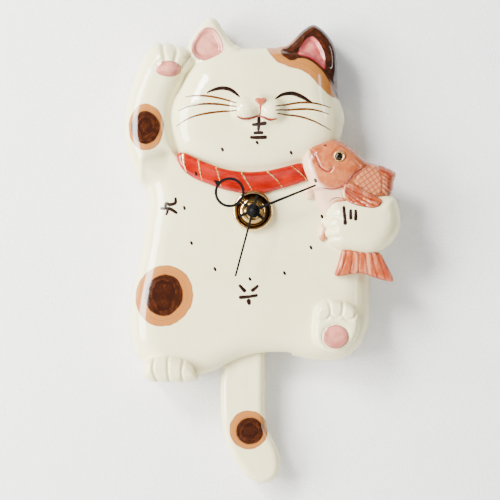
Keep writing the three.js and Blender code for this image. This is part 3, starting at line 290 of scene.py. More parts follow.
def slab(s, Y, back, front, R, Ry=None):
    """An outline's distance s given thickness, with a rounded front edge."""
    k = R / (Ry or R)
    qx, qy = s + R, (front - Y) * k + R
    d = np.minimum(np.maximum(qx, qy), 0) + np.sqrt(np.maximum(qx, 0) ** 2 + np.maximum(qy, 0) ** 2) - R
    return np.maximum(d, Y - back)


def ellipsoid(X, Y, Z, c, r):
    x, y, z = (X - c[0]) / r[0], (Y - c[1]) / r[1], (Z - c[2]) / r[2]
    k0 = np.sqrt(x * x + y * y + z * z)
    k1 = np.sqrt((x / r[0]) ** 2 + (y / r[1]) ** 2 + (z / r[2]) ** 2)
    return k0 * (k0 - 1) / np.maximum(k1, 1e-9)


def bump(X, Z, c, a, b, tilt=0.0):
    ct, st = math.cos(tilt), math.sin(tilt)
    x, z = X - c[0], Z - c[1]
    u, v = (x * ct + z * st) / a, (-x * st + z * ct) / b
    return np.exp(-(u * u) - (v * v))


def box_distance(X, Y, Z, lo, hi, r=0.0):
    c = [(a + b) / 2 for a, b in zip(lo, hi)]
    e = [(b - a) / 2 - r for a, b in zip(lo, hi)]
    q = [np.abs(v - m) - h for v, m, h in zip((X, Y, Z), c, e)]
    out = np.sqrt(sum(np.maximum(v, 0) ** 2 for v in q))
    return out + np.minimum(np.maximum(np.maximum(q[0], q[1]), q[2]), 0) - r


# ---------------------------------------------------------------- meshing
def surface(F, lo, hi, h, project=2):
    """Closed quad mesh of F = 0, in millimetres, with its points pulled on to the surface."""
    n = [int(math.ceil((b - a) / h)) + 1 for a, b in zip(lo, hi)]
    xs, ys, zs = (lo[i] + h * np.arange(n[i]) for i in range(3))
    G = F(xs[:, None, None], ys[None, :, None], zs[None, None, :])
    G = np.ascontiguousarray(np.broadcast_to(G, n)).astype(np.float32)
    G[0], G[-1] = np.maximum(G[0], h), np.maximum(G[-1], h)
    G[:, 0], G[:, -1] = np.maximum(G[:, 0], h), np.maximum(G[:, -1], h)
    G[:, :, 0], G[:, :, -1] = np.maximum(G[:, :, 0], h), np.maximum(G[:, :, -1], h)
    S = G < 0
    cnt = np.zeros([m - 1 for m in n], np.int8)
    corners = [(a, b, c) for a in (0, 1) for b in (0, 1) for c in (0, 1)]
    for a, b, c in corners:
        cnt += S[a : n[0] - 1 + a, b : n[1] - 1 + b, c : n[2] - 1 + c]
    I, J, K = np.nonzero((cnt > 0) & (cnt < 8))
    idx = np.full(cnt.shape, -1, np.int64)
    idx[I, J, K] = np.arange(len(I))
    val = {q: G[I + q[0], J + q[1], K + q[2]] for q in corners}
    acc = np.zeros((len(I), 3))
    num = np.zeros(len(I))
    for p in corners:
        for ax in range(3):
            if p[ax]:
                continue
            q = list(p)
            q[ax] = 1
            f0, f1 = val[p], val[tuple(q)]
            on = (f0 < 0) != (f1 < 0)
            t = np.where(on, f0 / np.where(on, f0 - f1, 1), 0)
            for k in range(3):
                acc[:, k] += np.where(on, p[k] + (t if k == ax else 0), 0)
            num += on
    V = acc / num[:, None] + np.stack([I, J, K], 1)
    V = V * h + np.array(lo)
    faces = []
    for ax in range(3):
        u, w = (ax + 1) % 3, (ax + 2) % 3
        a = [slice(None)] * 3
        b = [slice(None)] * 3
        a[ax], b[ax] = slice(0, -1), slice(1, None)
        A, B = S[tuple(a)], S[tuple(b)]
        cut = A != B
        pos = np.stack(np.nonzero(cut), 1)
        up = A[cut]
        ok = (pos[:, u] > 0) & (pos[:, w] > 0) & (pos[:, u] < n[u] - 1) & (pos[:, w] < n[w] - 1)
        pos, up = pos[ok], up[ok]
        quad = []
        for du, dw in ((1, 1), (0, 1), (0, 0), (1, 0)):
            p = pos.copy()
            p[:, u] -= du
            p[:, w] -= dw
            quad.append(idx[p[:, 0], p[:, 1], p[:, 2]])
        quad = np.stack(quad, 1)
        quad[~up] = quad[~up][:, ::-1]
        faces.append(quad)
    Q = np.concatenate(faces)
    e = 0.04
    for _ in range(project):
        f = F(V[:, 0], V[:, 1], V[:, 2])
        g = np.stack([(F(V[:, 0] + (e if k == 0 else 0), V[:, 1] + (e if k == 1 else 0), V[:, 2] + (e if k == 2 else 0)) - f) / e for k in range(3)], 1)
        g2 = np.maximum((g * g).sum(1), 0.25)
        step = -(f / g2)[:, None] * g
        l = np.sqrt((step * step).sum(1))
        step *= np.minimum(1, 0.6 * h / np.maximum(l, 1e-9))[:, None]
        V = V + step
    return V, Q


def mesh_object(name, V, Q, material, body=BODY, sharp=50, attributes=None):
    me = bpy.data.meshes.new(name)
    V = np.asarray(V, float)
    if isinstance(Q, np.ndarray):
        me.vertices.add(len(V))
        me.vertices.foreach_set("co", (V * MM).astype(np.float32).ravel())
        me.loops.add(Q.size)
        me.loops.foreach_set("vertex_index", Q.astype(np.int32).ravel())
        me.polygons.add(len(Q))
        me.polygons.foreach_set("loop_start", np.arange(0, Q.size, Q.shape[1], dtype=np.int32))
        me.update(calc_edges=True)
    else:
        me.from_pydata([tuple(v * MM) for v in V], [], Q)
    me.validate()
    me.polygons.foreach_set("use_smooth", np.ones(len(me.polygons), bool))
    if sharp:
        me.set_sharp_from_angle(angle=math.radians(sharp))
    for key, values in (attributes or {}).items():
        at = me.attributes.new(key, "FLOAT", "POINT")
        at.data.foreach_set("value", np.asarray(values, np.float32))
    me.materials.append(material)
    ob = bpy.data.objects.new(name, me)
    bpy.context.scene.collection.objects.link(ob)
    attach(ob, body)
    return ob


def front_of(F, x, z, y0=-50.0, y1=-2.0):
    """The first surface met from the front at each (x, z)."""
    x, z = np.asarray(x, float), np.asarray(z, float)
    ys = np.arange(y0, y1, 0.5)
    best = np.full(x.shape, y1)
    prev = F(x, np.full(x.shape, y0), z)
    done = np.zeros(x.shape, bool)
    for a, b in zip(ys[:-1], ys[1:]):
        cur = F(x, np.full(x.shape, b), z)
        hit = (~done) & (cur <= 0) & (prev > 0)
        best = np.where(hit, a + (b - a) * prev / np.where(hit, prev - cur, 1), best)
        done |= hit
        prev = cur
    return best


def ribbon(pts, widths, F, rise=0.14, sink=0.5, step=0.45, y_from=-50.0):
    """A closed, slightly raised stroke laid on the surface F."""
    P = spline(pts, 12, closed=False)
    l = np.concatenate([[0], np.cumsum(np.hypot(*np.diff(P, axis=0).T))])
    L = l[-1]
    wk = np.interp(l, np.linspace(0, L, len(widths)), widths)
    n = max(int(L / step), 3)
    s = np.linspace(0, L, n + 1)
    c = np.stack([np.interp(s, l, P[:, 0]), np.interp(s, l, P[:, 1])], 1)
    w = np.interp(s, l, wk) / 2
    d = np.gradient(c, axis=0)
    d /= np.maximum(np.hypot(d[:, 0], d[:, 1]), 1e-9)[:, None]
    head, tail = [], []
    for a in (0.92, 0.7, 0.38):  # rounded ends
        head.append((c[0] - d[0] * w[0] * a, w[0] * math.sqrt(1 - a * a), d[0]))
        tail.append((c[-1] + d[-1] * w[-1] * a, w[-1] * math.sqrt(1 - a * a), d[-1]))
    cs = np.array([h[0] for h in head] + list(c) + [t[0] for t in tail[::-1]])
    ws = np.array([h[1] for h in head] + list(w) + [t[1] for t in tail[::-1]])
    ds = np.array([h[2] for h in head] + list(d) + [t[2] for t in tail[::-1]])
    N = np.stack([-ds[:, 1], ds[:, 0]], 1)
    prof = [(-1, -0.02), (-0.72, 0.75), (0, 1), (0.72, 0.75), (1, -0.02), (0.8, None), (0, None), (-0.8, None)]
    xz = np.stack([cs + N * (ws * u)[:, None] for u, _ in prof], 1)
    y = front_of(F, xz[..., 0].ravel(), xz[..., 1].ravel(), y0=y_from).reshape(xz.shape[:2])
    for k, (u, r) in enumerate(prof):
        y[:, k] += sink if r is None else -rise * r
    V = np.stack([xz[..., 0], y, xz[..., 1]], 2)
    m, k = V.shape[:2]
    faces = []
    for i in range(m - 1):
        for j in range(k):
            faces.append((i * k + j, i * k + (j + 1) % k, (i + 1) * k + (j + 1) % k, (i + 1) * k + j))
    faces.append(tuple(range(k))[::-1])
    faces.append(tuple((m - 1) * k + j for j in range(k)))
    return V.reshape(-1, 3), faces


def join(parts):
    V, faces, n = [], [], 0
    for v, f in parts:
        V.append(v)
        faces += [tuple(int(i) + n for i in q) for q in f]
        n += len(v)
    return np.concatenate(V), faces


def outward(ob):
    bm = bmesh.new()
    bm.from_mesh(ob.data)
    bmesh.ops.recalc_face_normals(bm, faces=bm.faces)
    bm.to_mesh(ob.data)
    bm.free()
    return ob


def lathe(profile, x, z, segs=96):
    """Turned about Y; profile is [radius, y], closed or ending on the axis."""
    V, faces = [], []
    rows = []
    for r, y in profile:
        if r < 1e-6:
            rows.append([len(V)])
            V.append((x, y, z))
        else:
            row = []
            for k in range(segs):
                a = 2 * math.pi * k / segs
                row.append(len(V))
                V.append((x + r * math.cos(a), y, z + r * math.sin(a)))
            rows.append(row)
    for a, b in zip(rows[:-1], rows[1:]):
        for k in range(segs):
            k2 = (k + 1) % segs
            if len(a) == 1 and len(b) == 1:
                continue
            if len(a) == 1:
                faces.append((a[0], b[k], b[k2]))
            elif len(b) == 1:
                faces.append((a[k], b[0], a[k2]))
            else:
                faces.append((a[k], b[k], b[k2], a[k2]))
    if len(rows[0]) > 1:  # a closed ring
        a, b = rows[-1], rows[0]
        for k in range(segs):
            k2 = (k + 1) % segs
            faces.append((a[k], b[k], b[k2], a[k2]))
    return np.array(V), faces


def arc(cx, cy, r, a0, a1, n=6):
    return [(cx + r * math.cos(math.radians(a0 + (a1 - a0) * k / n)), cy + r * math.sin(math.radians(a0 + (a1 - a0) * k / n))) for k in range(n + 1)]



# ---------------------------------------------------------------- materials
class Nodes:
    """Short way to write a node tree."""

    def __init__(self, name):
        self.m = bpy.data.materials.new(name)
        self.m.use_nodes = True
        self.t = self.m.node_tree
        self.t.nodes.clear()
        self.out = self.t.nodes.new("ShaderNodeOutputMaterial")
        self.b = self.t.nodes.new("ShaderNodeBsdfPrincipled")
        self.t.links.new(self.b.outputs[0], self.out.inputs[0])
        self.co = self.t.nodes.new("ShaderNodeTexCoord").outputs["Object"]

    def link(self, a, b):
        self.t.links.new(a, b)

    def put(self, sock, v):
        if isinstance(v, bpy.types.NodeSocket):
            self.link(v, sock)
        elif v is not None:
            if isinstance(v, tuple) and len(v) == 3 and sock.type == "RGBA":
                v = (*v, 1.0)
            sock.default_value = v

    def set(self, **kw):
        for k, v in kw.items():
            self.put(self.b.inputs[k.replace("_", " ")], v)
        return self

    def noise(self, scale, detail=3.0, rough=0.5, co=None, dist=0.0, stretch=None):
        n = self.t.nodes.new("ShaderNodeTexNoise")
        if stretch:
            mp = self.t.nodes.new("ShaderNodeMapping")
            self.link(co or self.co, mp.inputs[0])
            mp.inputs["Rotation"].default_value = stretch[1]
            mp.inputs["Scale"].default_value = stretch[0]
            co = mp.outputs[0]
        self.link(co or self.co, n.inputs["Vector"])
        n.inputs["Scale"].default_value = scale
        n.inputs["Detail"].default_value = detail
        n.inputs["Roughness"].default_value = rough
        n.inputs["Distortion"].default_value = dist
        return n.outputs["Fac"]

    def rings(self, key, k, wobble, detail=3.0):
        """Uneven brush rings that follow a patch's outline."""
        n = self.t.nodes.new("ShaderNodeTexNoise")
        n.noise_dimensions = "1D"
        w = self.math("ADD", self.math("MULTIPLY", self.attr(key), k), self.math("MULTIPLY", self.noise(70, 3), wobble))
        self.link(w, n.inputs["W"])
        n.inputs["Scale"].default_value = 1.0
        n.inputs["Detail"].default_value = detail
        return n.outputs["Fac"]

    def voronoi(self, scale, feature="F1", out="Distance", rand=1.0):
        n = self.t.nodes.new("ShaderNodeTexVoronoi")
        n.feature = feature
        self.link(self.co, n.inputs["Vector"])
        n.inputs["Scale"].default_value = scale
        n.inputs["Randomness"].default_value = rand
        return n.outputs[out]

    def attr(self, name):
        n = self.t.nodes.new("ShaderNodeAttribute")
        n.attribute_name = name
        return n.outputs["Fac"]

    def math(self, op, a, b=0.0, c=0.0, clamp=False):
        n = self.t.nodes.new("ShaderNodeMath")
        n.operation = op
        n.use_clamp = clamp
        for i, v in enumerate((a, b, c)):
            self.put(n.inputs[i], v)
        return n.outputs[0]

    def ramp(self, v, a, b, lo=0.0, hi=1.0, smooth=True):
        n = self.t.nodes.new("ShaderNodeMapRange")
        n.interpolation_type = "SMOOTHSTEP" if smooth else "LINEAR"
        self.put(n.inputs["Value"], v)
        for k, x in (("From Min", a), ("From Max", b), ("To Min", lo), ("To Max", hi)):
            n.inputs[k].default_value = x
        return n.outputs["Result"]

    def mix(self, f, a, b, mode="MIX"):
        n = self.t.nodes.new("ShaderNodeMix")
        n.data_type = "RGBA"
        n.blend_type = mode
        self.put(n.inputs[0], f)
        self.put(n.inputs[6], a)
        self.put(n.inputs[7], b)
        return n.outputs[2]

    def bump(self, h, strength=0.3, dist=0.0003, normal=None):
        n = self.t.nodes.new("ShaderNodeBump")
        n.inputs["Strength"].default_value = strength
        n.inputs["Distance"].default_value = dist
        self.put(n.inputs["Height"], h)
        if normal is not None:
            self.link(normal, n.inputs["Normal"])
        return n.outputs[0]

    def axis(self, i):
        n = self.t.nodes.new("ShaderNodeSeparateXYZ")
        self.link(self.co, n.inputs[0])
        return n.outputs[i]


def glaze_base(n):
    big = n.noise(14, 2)
    mid = n.noise(90, 3)
    c = n.mix(n.ramp(big, 0.35, 0.65), (0.765, 0.705, 0.415), (0.715, 0.655, 0.370))
    c = n.mix(n.ramp(mid, 0.4, 0.75, 0, 0.35), c, (0.69, 0.61, 0.33))
    spots = n.ramp(n.voronoi(260, rand=1.0), 0.10, 0.055)
    keep = n.ramp(n.noise(61, 1), 0.60, 0.66)
    c = n.mix(n.math("MULTIPLY", n.math("MULTIPLY", spots, keep), 0.55), c, (0.16, 0.09, 0.035))
    return c


def painted(n, c, key, rough=0.6, soft=0.35, grain=150):
    """0 outside, 1 inside a painted patch whose signed distance is the attribute key."""
    wob = n.math("MULTIPLY", n.math("SUBTRACT", n.noise(grain, 3), 0.5), rough * 2)
    return n.ramp(n.math("ADD", n.attr(key), wob), soft, -soft)


def ceramic(name, tail=False):
    n = Nodes(name)
    c = glaze_base(n)
    streak = n.rings("orange", 1.1, 2.4)
    orange = n.mix(n.ramp(streak, 0.35, 0.68), (0.36, 0.112, 0.0050), (0.225, 0.056, 0.0015))
    om = painted(n, c, "orange", 1.0, 0.45)
    edge = n.ramp(n.attr("orange"), -2.6, -0.2)
    orange = n.mix(n.math("MULTIPLY", edge, 0.4), orange, (0.25, 0.060, 0.0020))
    c = n.mix(n.math("MULTIPLY", om, 0.94), c, orange)
    streak = n.math("ADD", n.math("MULTIPLY", n.rings("brown", 0.4, 4.0), 0.5), n.math("MULTIPLY", n.noise(210, 4, 0.65), 0.5))
    brown = n.mix(n.ramp(streak, 0.40, 0.66), (0.015, 0.0036, 0.0016), (0.047, 0.0115, 0.0030))
    bm = painted(n, c, "brown", 0.9, 0.55)
    c = n.mix(bm, c, brown)
    rough = n.ramp(n.noise(120, 3), 0.3, 0.7, 0.085, 0.15)
    if not tail:
        pm = painted(n, c, "pink", 0.35, 0.3)
        pink = n.mix(n.ramp(n.noise(85, 4, 0.6, dist=0.6), 0.36, 0.66), (0.56, 0.135, 0.120), (0.28, 0.020, 0.026))
        # lighter centre of the pink patches: uneven paint, and a painted highlight standing in for the glossy glaze's
        # shine
        pink_centre_paint_and_highlight = n.math("MULTIPLY", n.ramp(n.attr("pink"), -2.2, -5.0), n.ramp(n.noise(160, 3), 0.35, 0.6, 0.25, 0.9))
        pink = n.mix(n.math("MULTIPLY", pink_centre_paint_and_highlight, 0.45), pink, (0.68, 0.30, 0.23))
        deep = n.ramp(n.attr("pink"), -0.95, -0.55)
        pink = n.mix(n.math("MULTIPLY", deep, 0.9), pink, (0.22, 0.010, 0.016))
        c = n.mix(n.math("MULTIPLY", pm, 0.88), c, pink)
    # bare clay where it meets the wall, thin glaze inside
    bare = n.ramp(n.attr("wall"), 0.9, 0.35)
    clay = n.mix(n.noise(300, 4), (0.60, 0.53, 0.42), (0.50, 0.43, 0.33))
    c = n.mix(bare, c, clay)
    inner = n.ramp(n.math("ABSOLUTE", n.attr("inside")), 1.6, 0.8) if not tail else None
    if inner is not None:
        c = n.mix(n.math("MULTIPLY", inner, 0.7), c, (0.62, 0.57, 0.47))
        rough = n.math("MAXIMUM", rough, n.math("MULTIPLY", inner, 0.5))
    rough = n.math("MAXIMUM", rough, n.math("MULTIPLY", bare, 0.85))
    h = n.math("ADD", n.math("MULTIPLY", n.noise(240, 2), 0.5), n.math("MULTIPLY", n.noise(60, 2), 1.0))
    h = n.math("ADD", h, n.math("MULTIPLY", n.math("MULTIPLY", bare, n.noise(1500, 3)), 1.2))
    n.set(Base_Color=c, Roughness=rough, Normal=n.bump(h, 0.22, 0.0007), IOR=1.54)
    return n.m


def simple(name, c1, c2, scale=200, rough=(0.2, 0.35), metal=0.0, bump=0.0, bscale=900, stretch=None, detail=3.0, **kw):
    """A material with mottled colour and roughness."""
    n = Nodes(name)
    v = n.noise(scale, detail, 0.55, stretch=stretch)
    n.set(Base_Color=n.mix(n.ramp(v, 0.3, 0.7), c1, c2), Roughness=n.ramp(n.noise(scale * 1.7, 3), 0.3, 0.7, *rough))
    n.b.inputs["Metallic"].default_value = metal
    if bump:
        n.set(Normal=n.bump(n.noise(bscale, 3, stretch=stretch), bump, 0.0002))
    for k, v in kw.items():
        n.b.inputs[k.replace("_", " ")].default_value = v
    return n.m


def collar_material():
    n = Nodes("collar_red_glaze")
    s = n.noise(120, 4, 0.62, stretch=((0.35, 1.0, 1.0), (0.0, 0.2, 0.0)))
    c = n.mix(n.ramp(s, 0.32, 0.7), (0.315, 0.0065, 0.0001), (0.170, 0.0016, 0.0001))
    c = n.mix(n.ramp(n.noise(60, 3), 0.52, 0.72, 0, 0.4), c, (0.42, 0.022, 0.0005))
    edge = n.math("MULTIPLY", n.ramp(n.attr("edge"), -1.7, -0.2), n.ramp(n.noise(210, 2), 0.4, 0.62))
    c = n.mix(n.math("MULTIPLY", edge, 0.3), c, (0.44, 0.035, 0.004))
    h = n.math("ADD", n.noise(200, 2), n.noise(70, 2))
    n.set(Base_Color=c, Roughness=n.ramp(n.noise(140, 3), 0.3, 0.7, 0.07, 0.13), Normal=n.bump(h, 0.2, 0.0006), IOR=1.54)
    n.b.inputs["Specular IOR Level"].default_value = 0.34
    return n.m


def bream_material(name, angle):
    n = Nodes(name)
    cream = (0.78, 0.53, 0.34)
    wash = n.noise(75, 4, 0.6)
    fine = n.noise(300, 3, 0.6)
    salmon = n.mix(n.ramp(wash, 0.34, 0.66), (0.36, 0.090, 0.026), (0.225, 0.038, 0.008))
    salmon = n.mix(n.ramp(fine, 0.38, 0.7, 0, 0.6), salmon, (0.46, 0.160, 0.062))
    c = salmon
    # worn light rim, white belly
    rim = n.ramp(n.attr("edge"), -1.4, -0.1)
    c = n.mix(n.math("MULTIPLY", rim, 0.45), c, (0.62, 0.26, 0.12))
    sc = painted(n, c, "scales", 0.5, 0.8)
    co = n.co
    lines = []
    for ang in (0.6, -0.95):
        w = n.t.nodes.new("ShaderNodeTexWave")
        mp = n.t.nodes.new("ShaderNodeMapping")
        n.link(co, mp.inputs[0])
        mp.inputs["Rotation"].default_value = (0, ang, 0)
        n.link(mp.outputs[0], w.inputs["Vector"])
        w.inputs["Scale"].default_value = 100
        w.inputs["Distortion"].default_value = 0.7
        lines.append(n.ramp(w.outputs["Fac"], 0.25, 0.05))
    hatch = n.math("MAXIMUM", lines[0], lines[1])
    scale_c = n.mix(hatch, (0.50, 0.190, 0.082), (0.32, 0.066, 0.022))
    c = n.mix(n.math("MULTIPLY", sc, 0.85), c, scale_c)
    fin = painted(n, c, "fins", 0.5, 0.9)
    fc = n.mix(n.ramp(fine, 0.35, 0.65), (0.38, 0.085, 0.024), (0.28, 0.044, 0.010))
    hair = n.noise(230, 4, 0.6, stretch=((1.0, 1.0, 0.13), (0.0, angle, 0.0)))
    fc = n.mix(n.ramp(hair, 0.50, 0.64, 0, 0.75), fc, (0.60, 0.25, 0.12))
    fc = n.mix(n.ramp(hair, 0.46, 0.36, 0, 0.8), fc, (0.26, 0.026, 0.006))
    streak = n.ramp(n.attr("rays"), 1.3, 0.2)
    fc = n.mix(n.math("MULTIPLY", streak, n.ramp(wash, 0.38, 0.6, 0.2, 0.85)), fc, (0.15, 0.009, 0.003))
    c = n.mix(n.math("MULTIPLY", fin, 0.9), c, fc)
    be = painted(n, c, "belly", 0.8, 1.6)
    c = n.mix(n.math("MULTIPLY", be, 0.86), c, cream)
    # glaze pools redder along the gill
    gl = n.ramp(n.math("ABSOLUTE", n.attr("gill")), 2.2, 0.0)
    c = n.mix(n.math("MULTIPLY", gl, 0.3), c, (0.22, 0.020, 0.006))
    h = n.math("ADD", n.noise(200, 2), n.math("MULTIPLY", n.math("MULTIPLY", hatch, sc), -0.8))
    n.set(Base_Color=c, Roughness=n.ramp(n.noise(140, 3), 0.3, 0.7, 0.10, 0.18), Normal=n.bump(h, 0.25, 0.0004), IOR=1.54)
    n.b.inputs["Specular IOR Level"].default_value = 0.36
    return n.m


def brass(name, c1=(0.50, 0.32, 0.10), c2=(0.36, 0.20, 0.05), rough=(0.14, 0.26), stretch=None):
    return simple(name, c1, c2, 260, rough, 1.0, 0.06, 1400, stretch)


def bell_brass_painted_reflections():
    n = Nodes("bell_brass_painted_reflections")
    n.b.inputs["Metallic"].default_value = 1.0
    # colour by radius paints the lighting on the escutcheon: a painted reflection and painted highlights, listed below
    z = n.math("ADD", n.axis(2), 0.07)
    r = n.math("SQRT", n.math("ADD", n.math("POWER", n.axis(0), 2.0), n.math("POWER", z, 2.0)))
    t = n.noise(500, 3)
    # painted reflection: the dark browns stand in for a dark room reflected in the brass
    dark = n.mix(n.ramp(t, 0.3, 0.7), (0.21, 0.105, 0.028), (0.14, 0.064, 0.015))
    # painted highlight: pale gold for the bright outer rim
    rim = n.mix(n.ramp(t, 0.3, 0.7), (0.80, 0.60, 0.33), (0.66, 0.45, 0.20))
    # painted highlights: the outer rim past 11.4 mm radius and a thin ring at 9.3 mm radius
    k = n.math("MAXIMUM", n.ramp(r, 0.0114, 0.0123), n.math("MULTIPLY", n.ramp(n.math("ABSOLUTE", n.math("SUBTRACT", r, 0.0093)), 0.0005, 0.0001), 0.55))
    # painted reflection: lighter brass inside 8 mm radius
    dark = n.mix(n.ramp(r, 0.0088, 0.0080), dark, (0.46, 0.32, 0.12))
    n.set(Base_Color=n.mix(k, dark, rim), Roughness=n.ramp(n.noise(700, 3), 0.3, 0.7, 0.08, 0.16), Normal=n.bump(n.noise(900, 3), 0.06, 0.0002))
    return n.m


MAT = {
    "ceramic": ceramic("cat_glaze"),
    "tail": ceramic("tail_glaze", tail=True),
    "collar": collar_material(),
    "bream": bream_material("bream_glaze", 1.1),
    "bream_tail": bream_material("bream_tail_glaze", 0.0),
    "gold_line": brass("gold_paint", (0.78, 0.50, 0.20), (0.46, 0.24, 0.06), (0.2, 0.34)),
    "whisker": simple("whisker_paint", (0.110, 0.032, 0.004), (0.040, 0.009, 0.0015), 420, (0.18, 0.3)),
    "dark_paint": simple("dark_paint", (0.007, 0.0025, 0.0018), (0.016, 0.005, 0.003), 500, (0.16, 0.3), Specular_IOR_Level=0.3),
    "mouth_paint": simple("mouth_paint", (0.20, 0.014, 0.006), (0.11, 0.008, 0.004), 500, (0.15, 0.28)),
    "nose": simple("nose_paint", (0.44, 0.105, 0.048), (0.34, 0.070, 0.030), 300, (0.12, 0.2)),
    "bream_line": simple("bream_line", (0.24, 0.020, 0.009), (0.14, 0.010, 0.005), 500, (0.15, 0.28)),
    "pupil": simple("pupil", (0.003, 0.002, 0.0015), (0.010, 0.004, 0.002), 900, (0.05, 0.1), Specular_IOR_Level=0.3),
    "bell": bell_brass_painted_reflections(),
    "brass": brass("polished_brass"),
    "brass_dark": brass("old_brass", (0.66, 0.45, 0.18), (0.42, 0.26, 0.09), (0.22, 0.42)),
    "hand": simple("hand_black", (0.003, 0.003, 0.003), (0.006, 0.006, 0.006), 700, (0.42, 0.55), 0.0, 0.05, 2500, Specular_IOR_Level=0.06),
    "case": simple("case_black", (0.014, 0.014, 0.015), (0.022, 0.022, 0.023), 900, (0.42, 0.6), 0.0, 0.35, 5200),
    "rubber": simple("rubber", (0.012, 0.012, 0.012), (0.020, 0.020, 0.020), 1200, (0.7, 0.9), 0.0, 0.25, 4000),
    "gear": simple("acetal", (0.76, 0.74, 0.66), (0.70, 0.68, 0.60), 700, (0.38, 0.52), 0.0, 0.05, 3000),
    "steel": simple("bright_steel", (0.62, 0.63, 0.65), (0.52, 0.53, 0.55), 900, (0.18, 0.34), 1.0, 0.08, 2600, ((0.1, 1, 1), (0, 0, 0))),
    "magnet": simple("nickel", (0.50, 0.51, 0.53), (0.42, 0.43, 0.45), 900, (0.2, 0.34), 1.0, 0.04, 2600),
    "copper": simple("winding", (0.50, 0.19, 0.07), (0.36, 0.12, 0.04), 3200, (0.25, 0.4), 0.7, 0.6, 5200, ((0.08, 1, 1), (0, 0, 0))),
    "board": simple("board", (0.16, 0.105, 0.035), (0.115, 0.075, 0.025), 500, (0.45, 0.6), 0.0, 0.15, 3000),
    "cell": simple("cell_wrap", (0.16, 0.20, 0.24), (0.13, 0.165, 0.20), 300, (0.2, 0.32), 0.35, 0.04, 2000),
}


# ---------------------------------------------------------------- the cat
M = Maps(-96, 106, -194, 70, 0.5)
for key in OUT:
    M.outline(key, OUT[key])
for key, lines in GROOVES.items():
    d = np.full(M.X.shape, 99.0)
    for pts in lines:
        d = np.minimum(d, line_distance(M.X, M.Z, spline(pts, 6, closed=False)))
    M.add(key, d)

PAW_PAD = (-58.3, 27.6, 9.0, 5.4)
FOOT_PAD = (56.6, -156.3, 8.8, 8.1)


def rounded_back(d, s, Y, back, R):
    """The slab d with its back edge rounded too."""
    qs, qb = s + R, Y - back + R
    return np.maximum(d, np.minimum(np.maximum(qs, qb), 0) + np.sqrt(np.maximum(qs, 0) ** 2 + np.maximum(qb, 0) ** 2) - R)


def torso_field(X, Y, Z, s=0.0):
    front = -30.0 - 2.2 * bump(X, Z, (-12, -118), 62, 50) + 0.8 * bump(X, Z, (0, -70), 22, 22)
    return slab(M.get("torso", X, Z) + s, Y, 0, front, 19, 15)


def head_field(X, Y, Z, s=0.0):
    front = -35.5 - 4.0 * bump(X, Z, (3, 4), 46, 30) - 1.6 * bump(X, Z, (-30, 2), 17, 15) - 1.6 * bump(X, Z, (38, -2), 17, 15)
    front = front + 1.0 * bump(X, Z, (-24, 8.5), 10, 3.6, -0.05) + 1.0 * bump(X, Z, (28.5, 5.5), 10, 3.6, -0.1)
    return slab(M.get("head", X, Z) + s, Y, 0, front, 21, 16)


def neck_field(X, Y, Z):
    return smin(torso_field(X, Y, Z), head_field(X, Y, Z), 9.0)


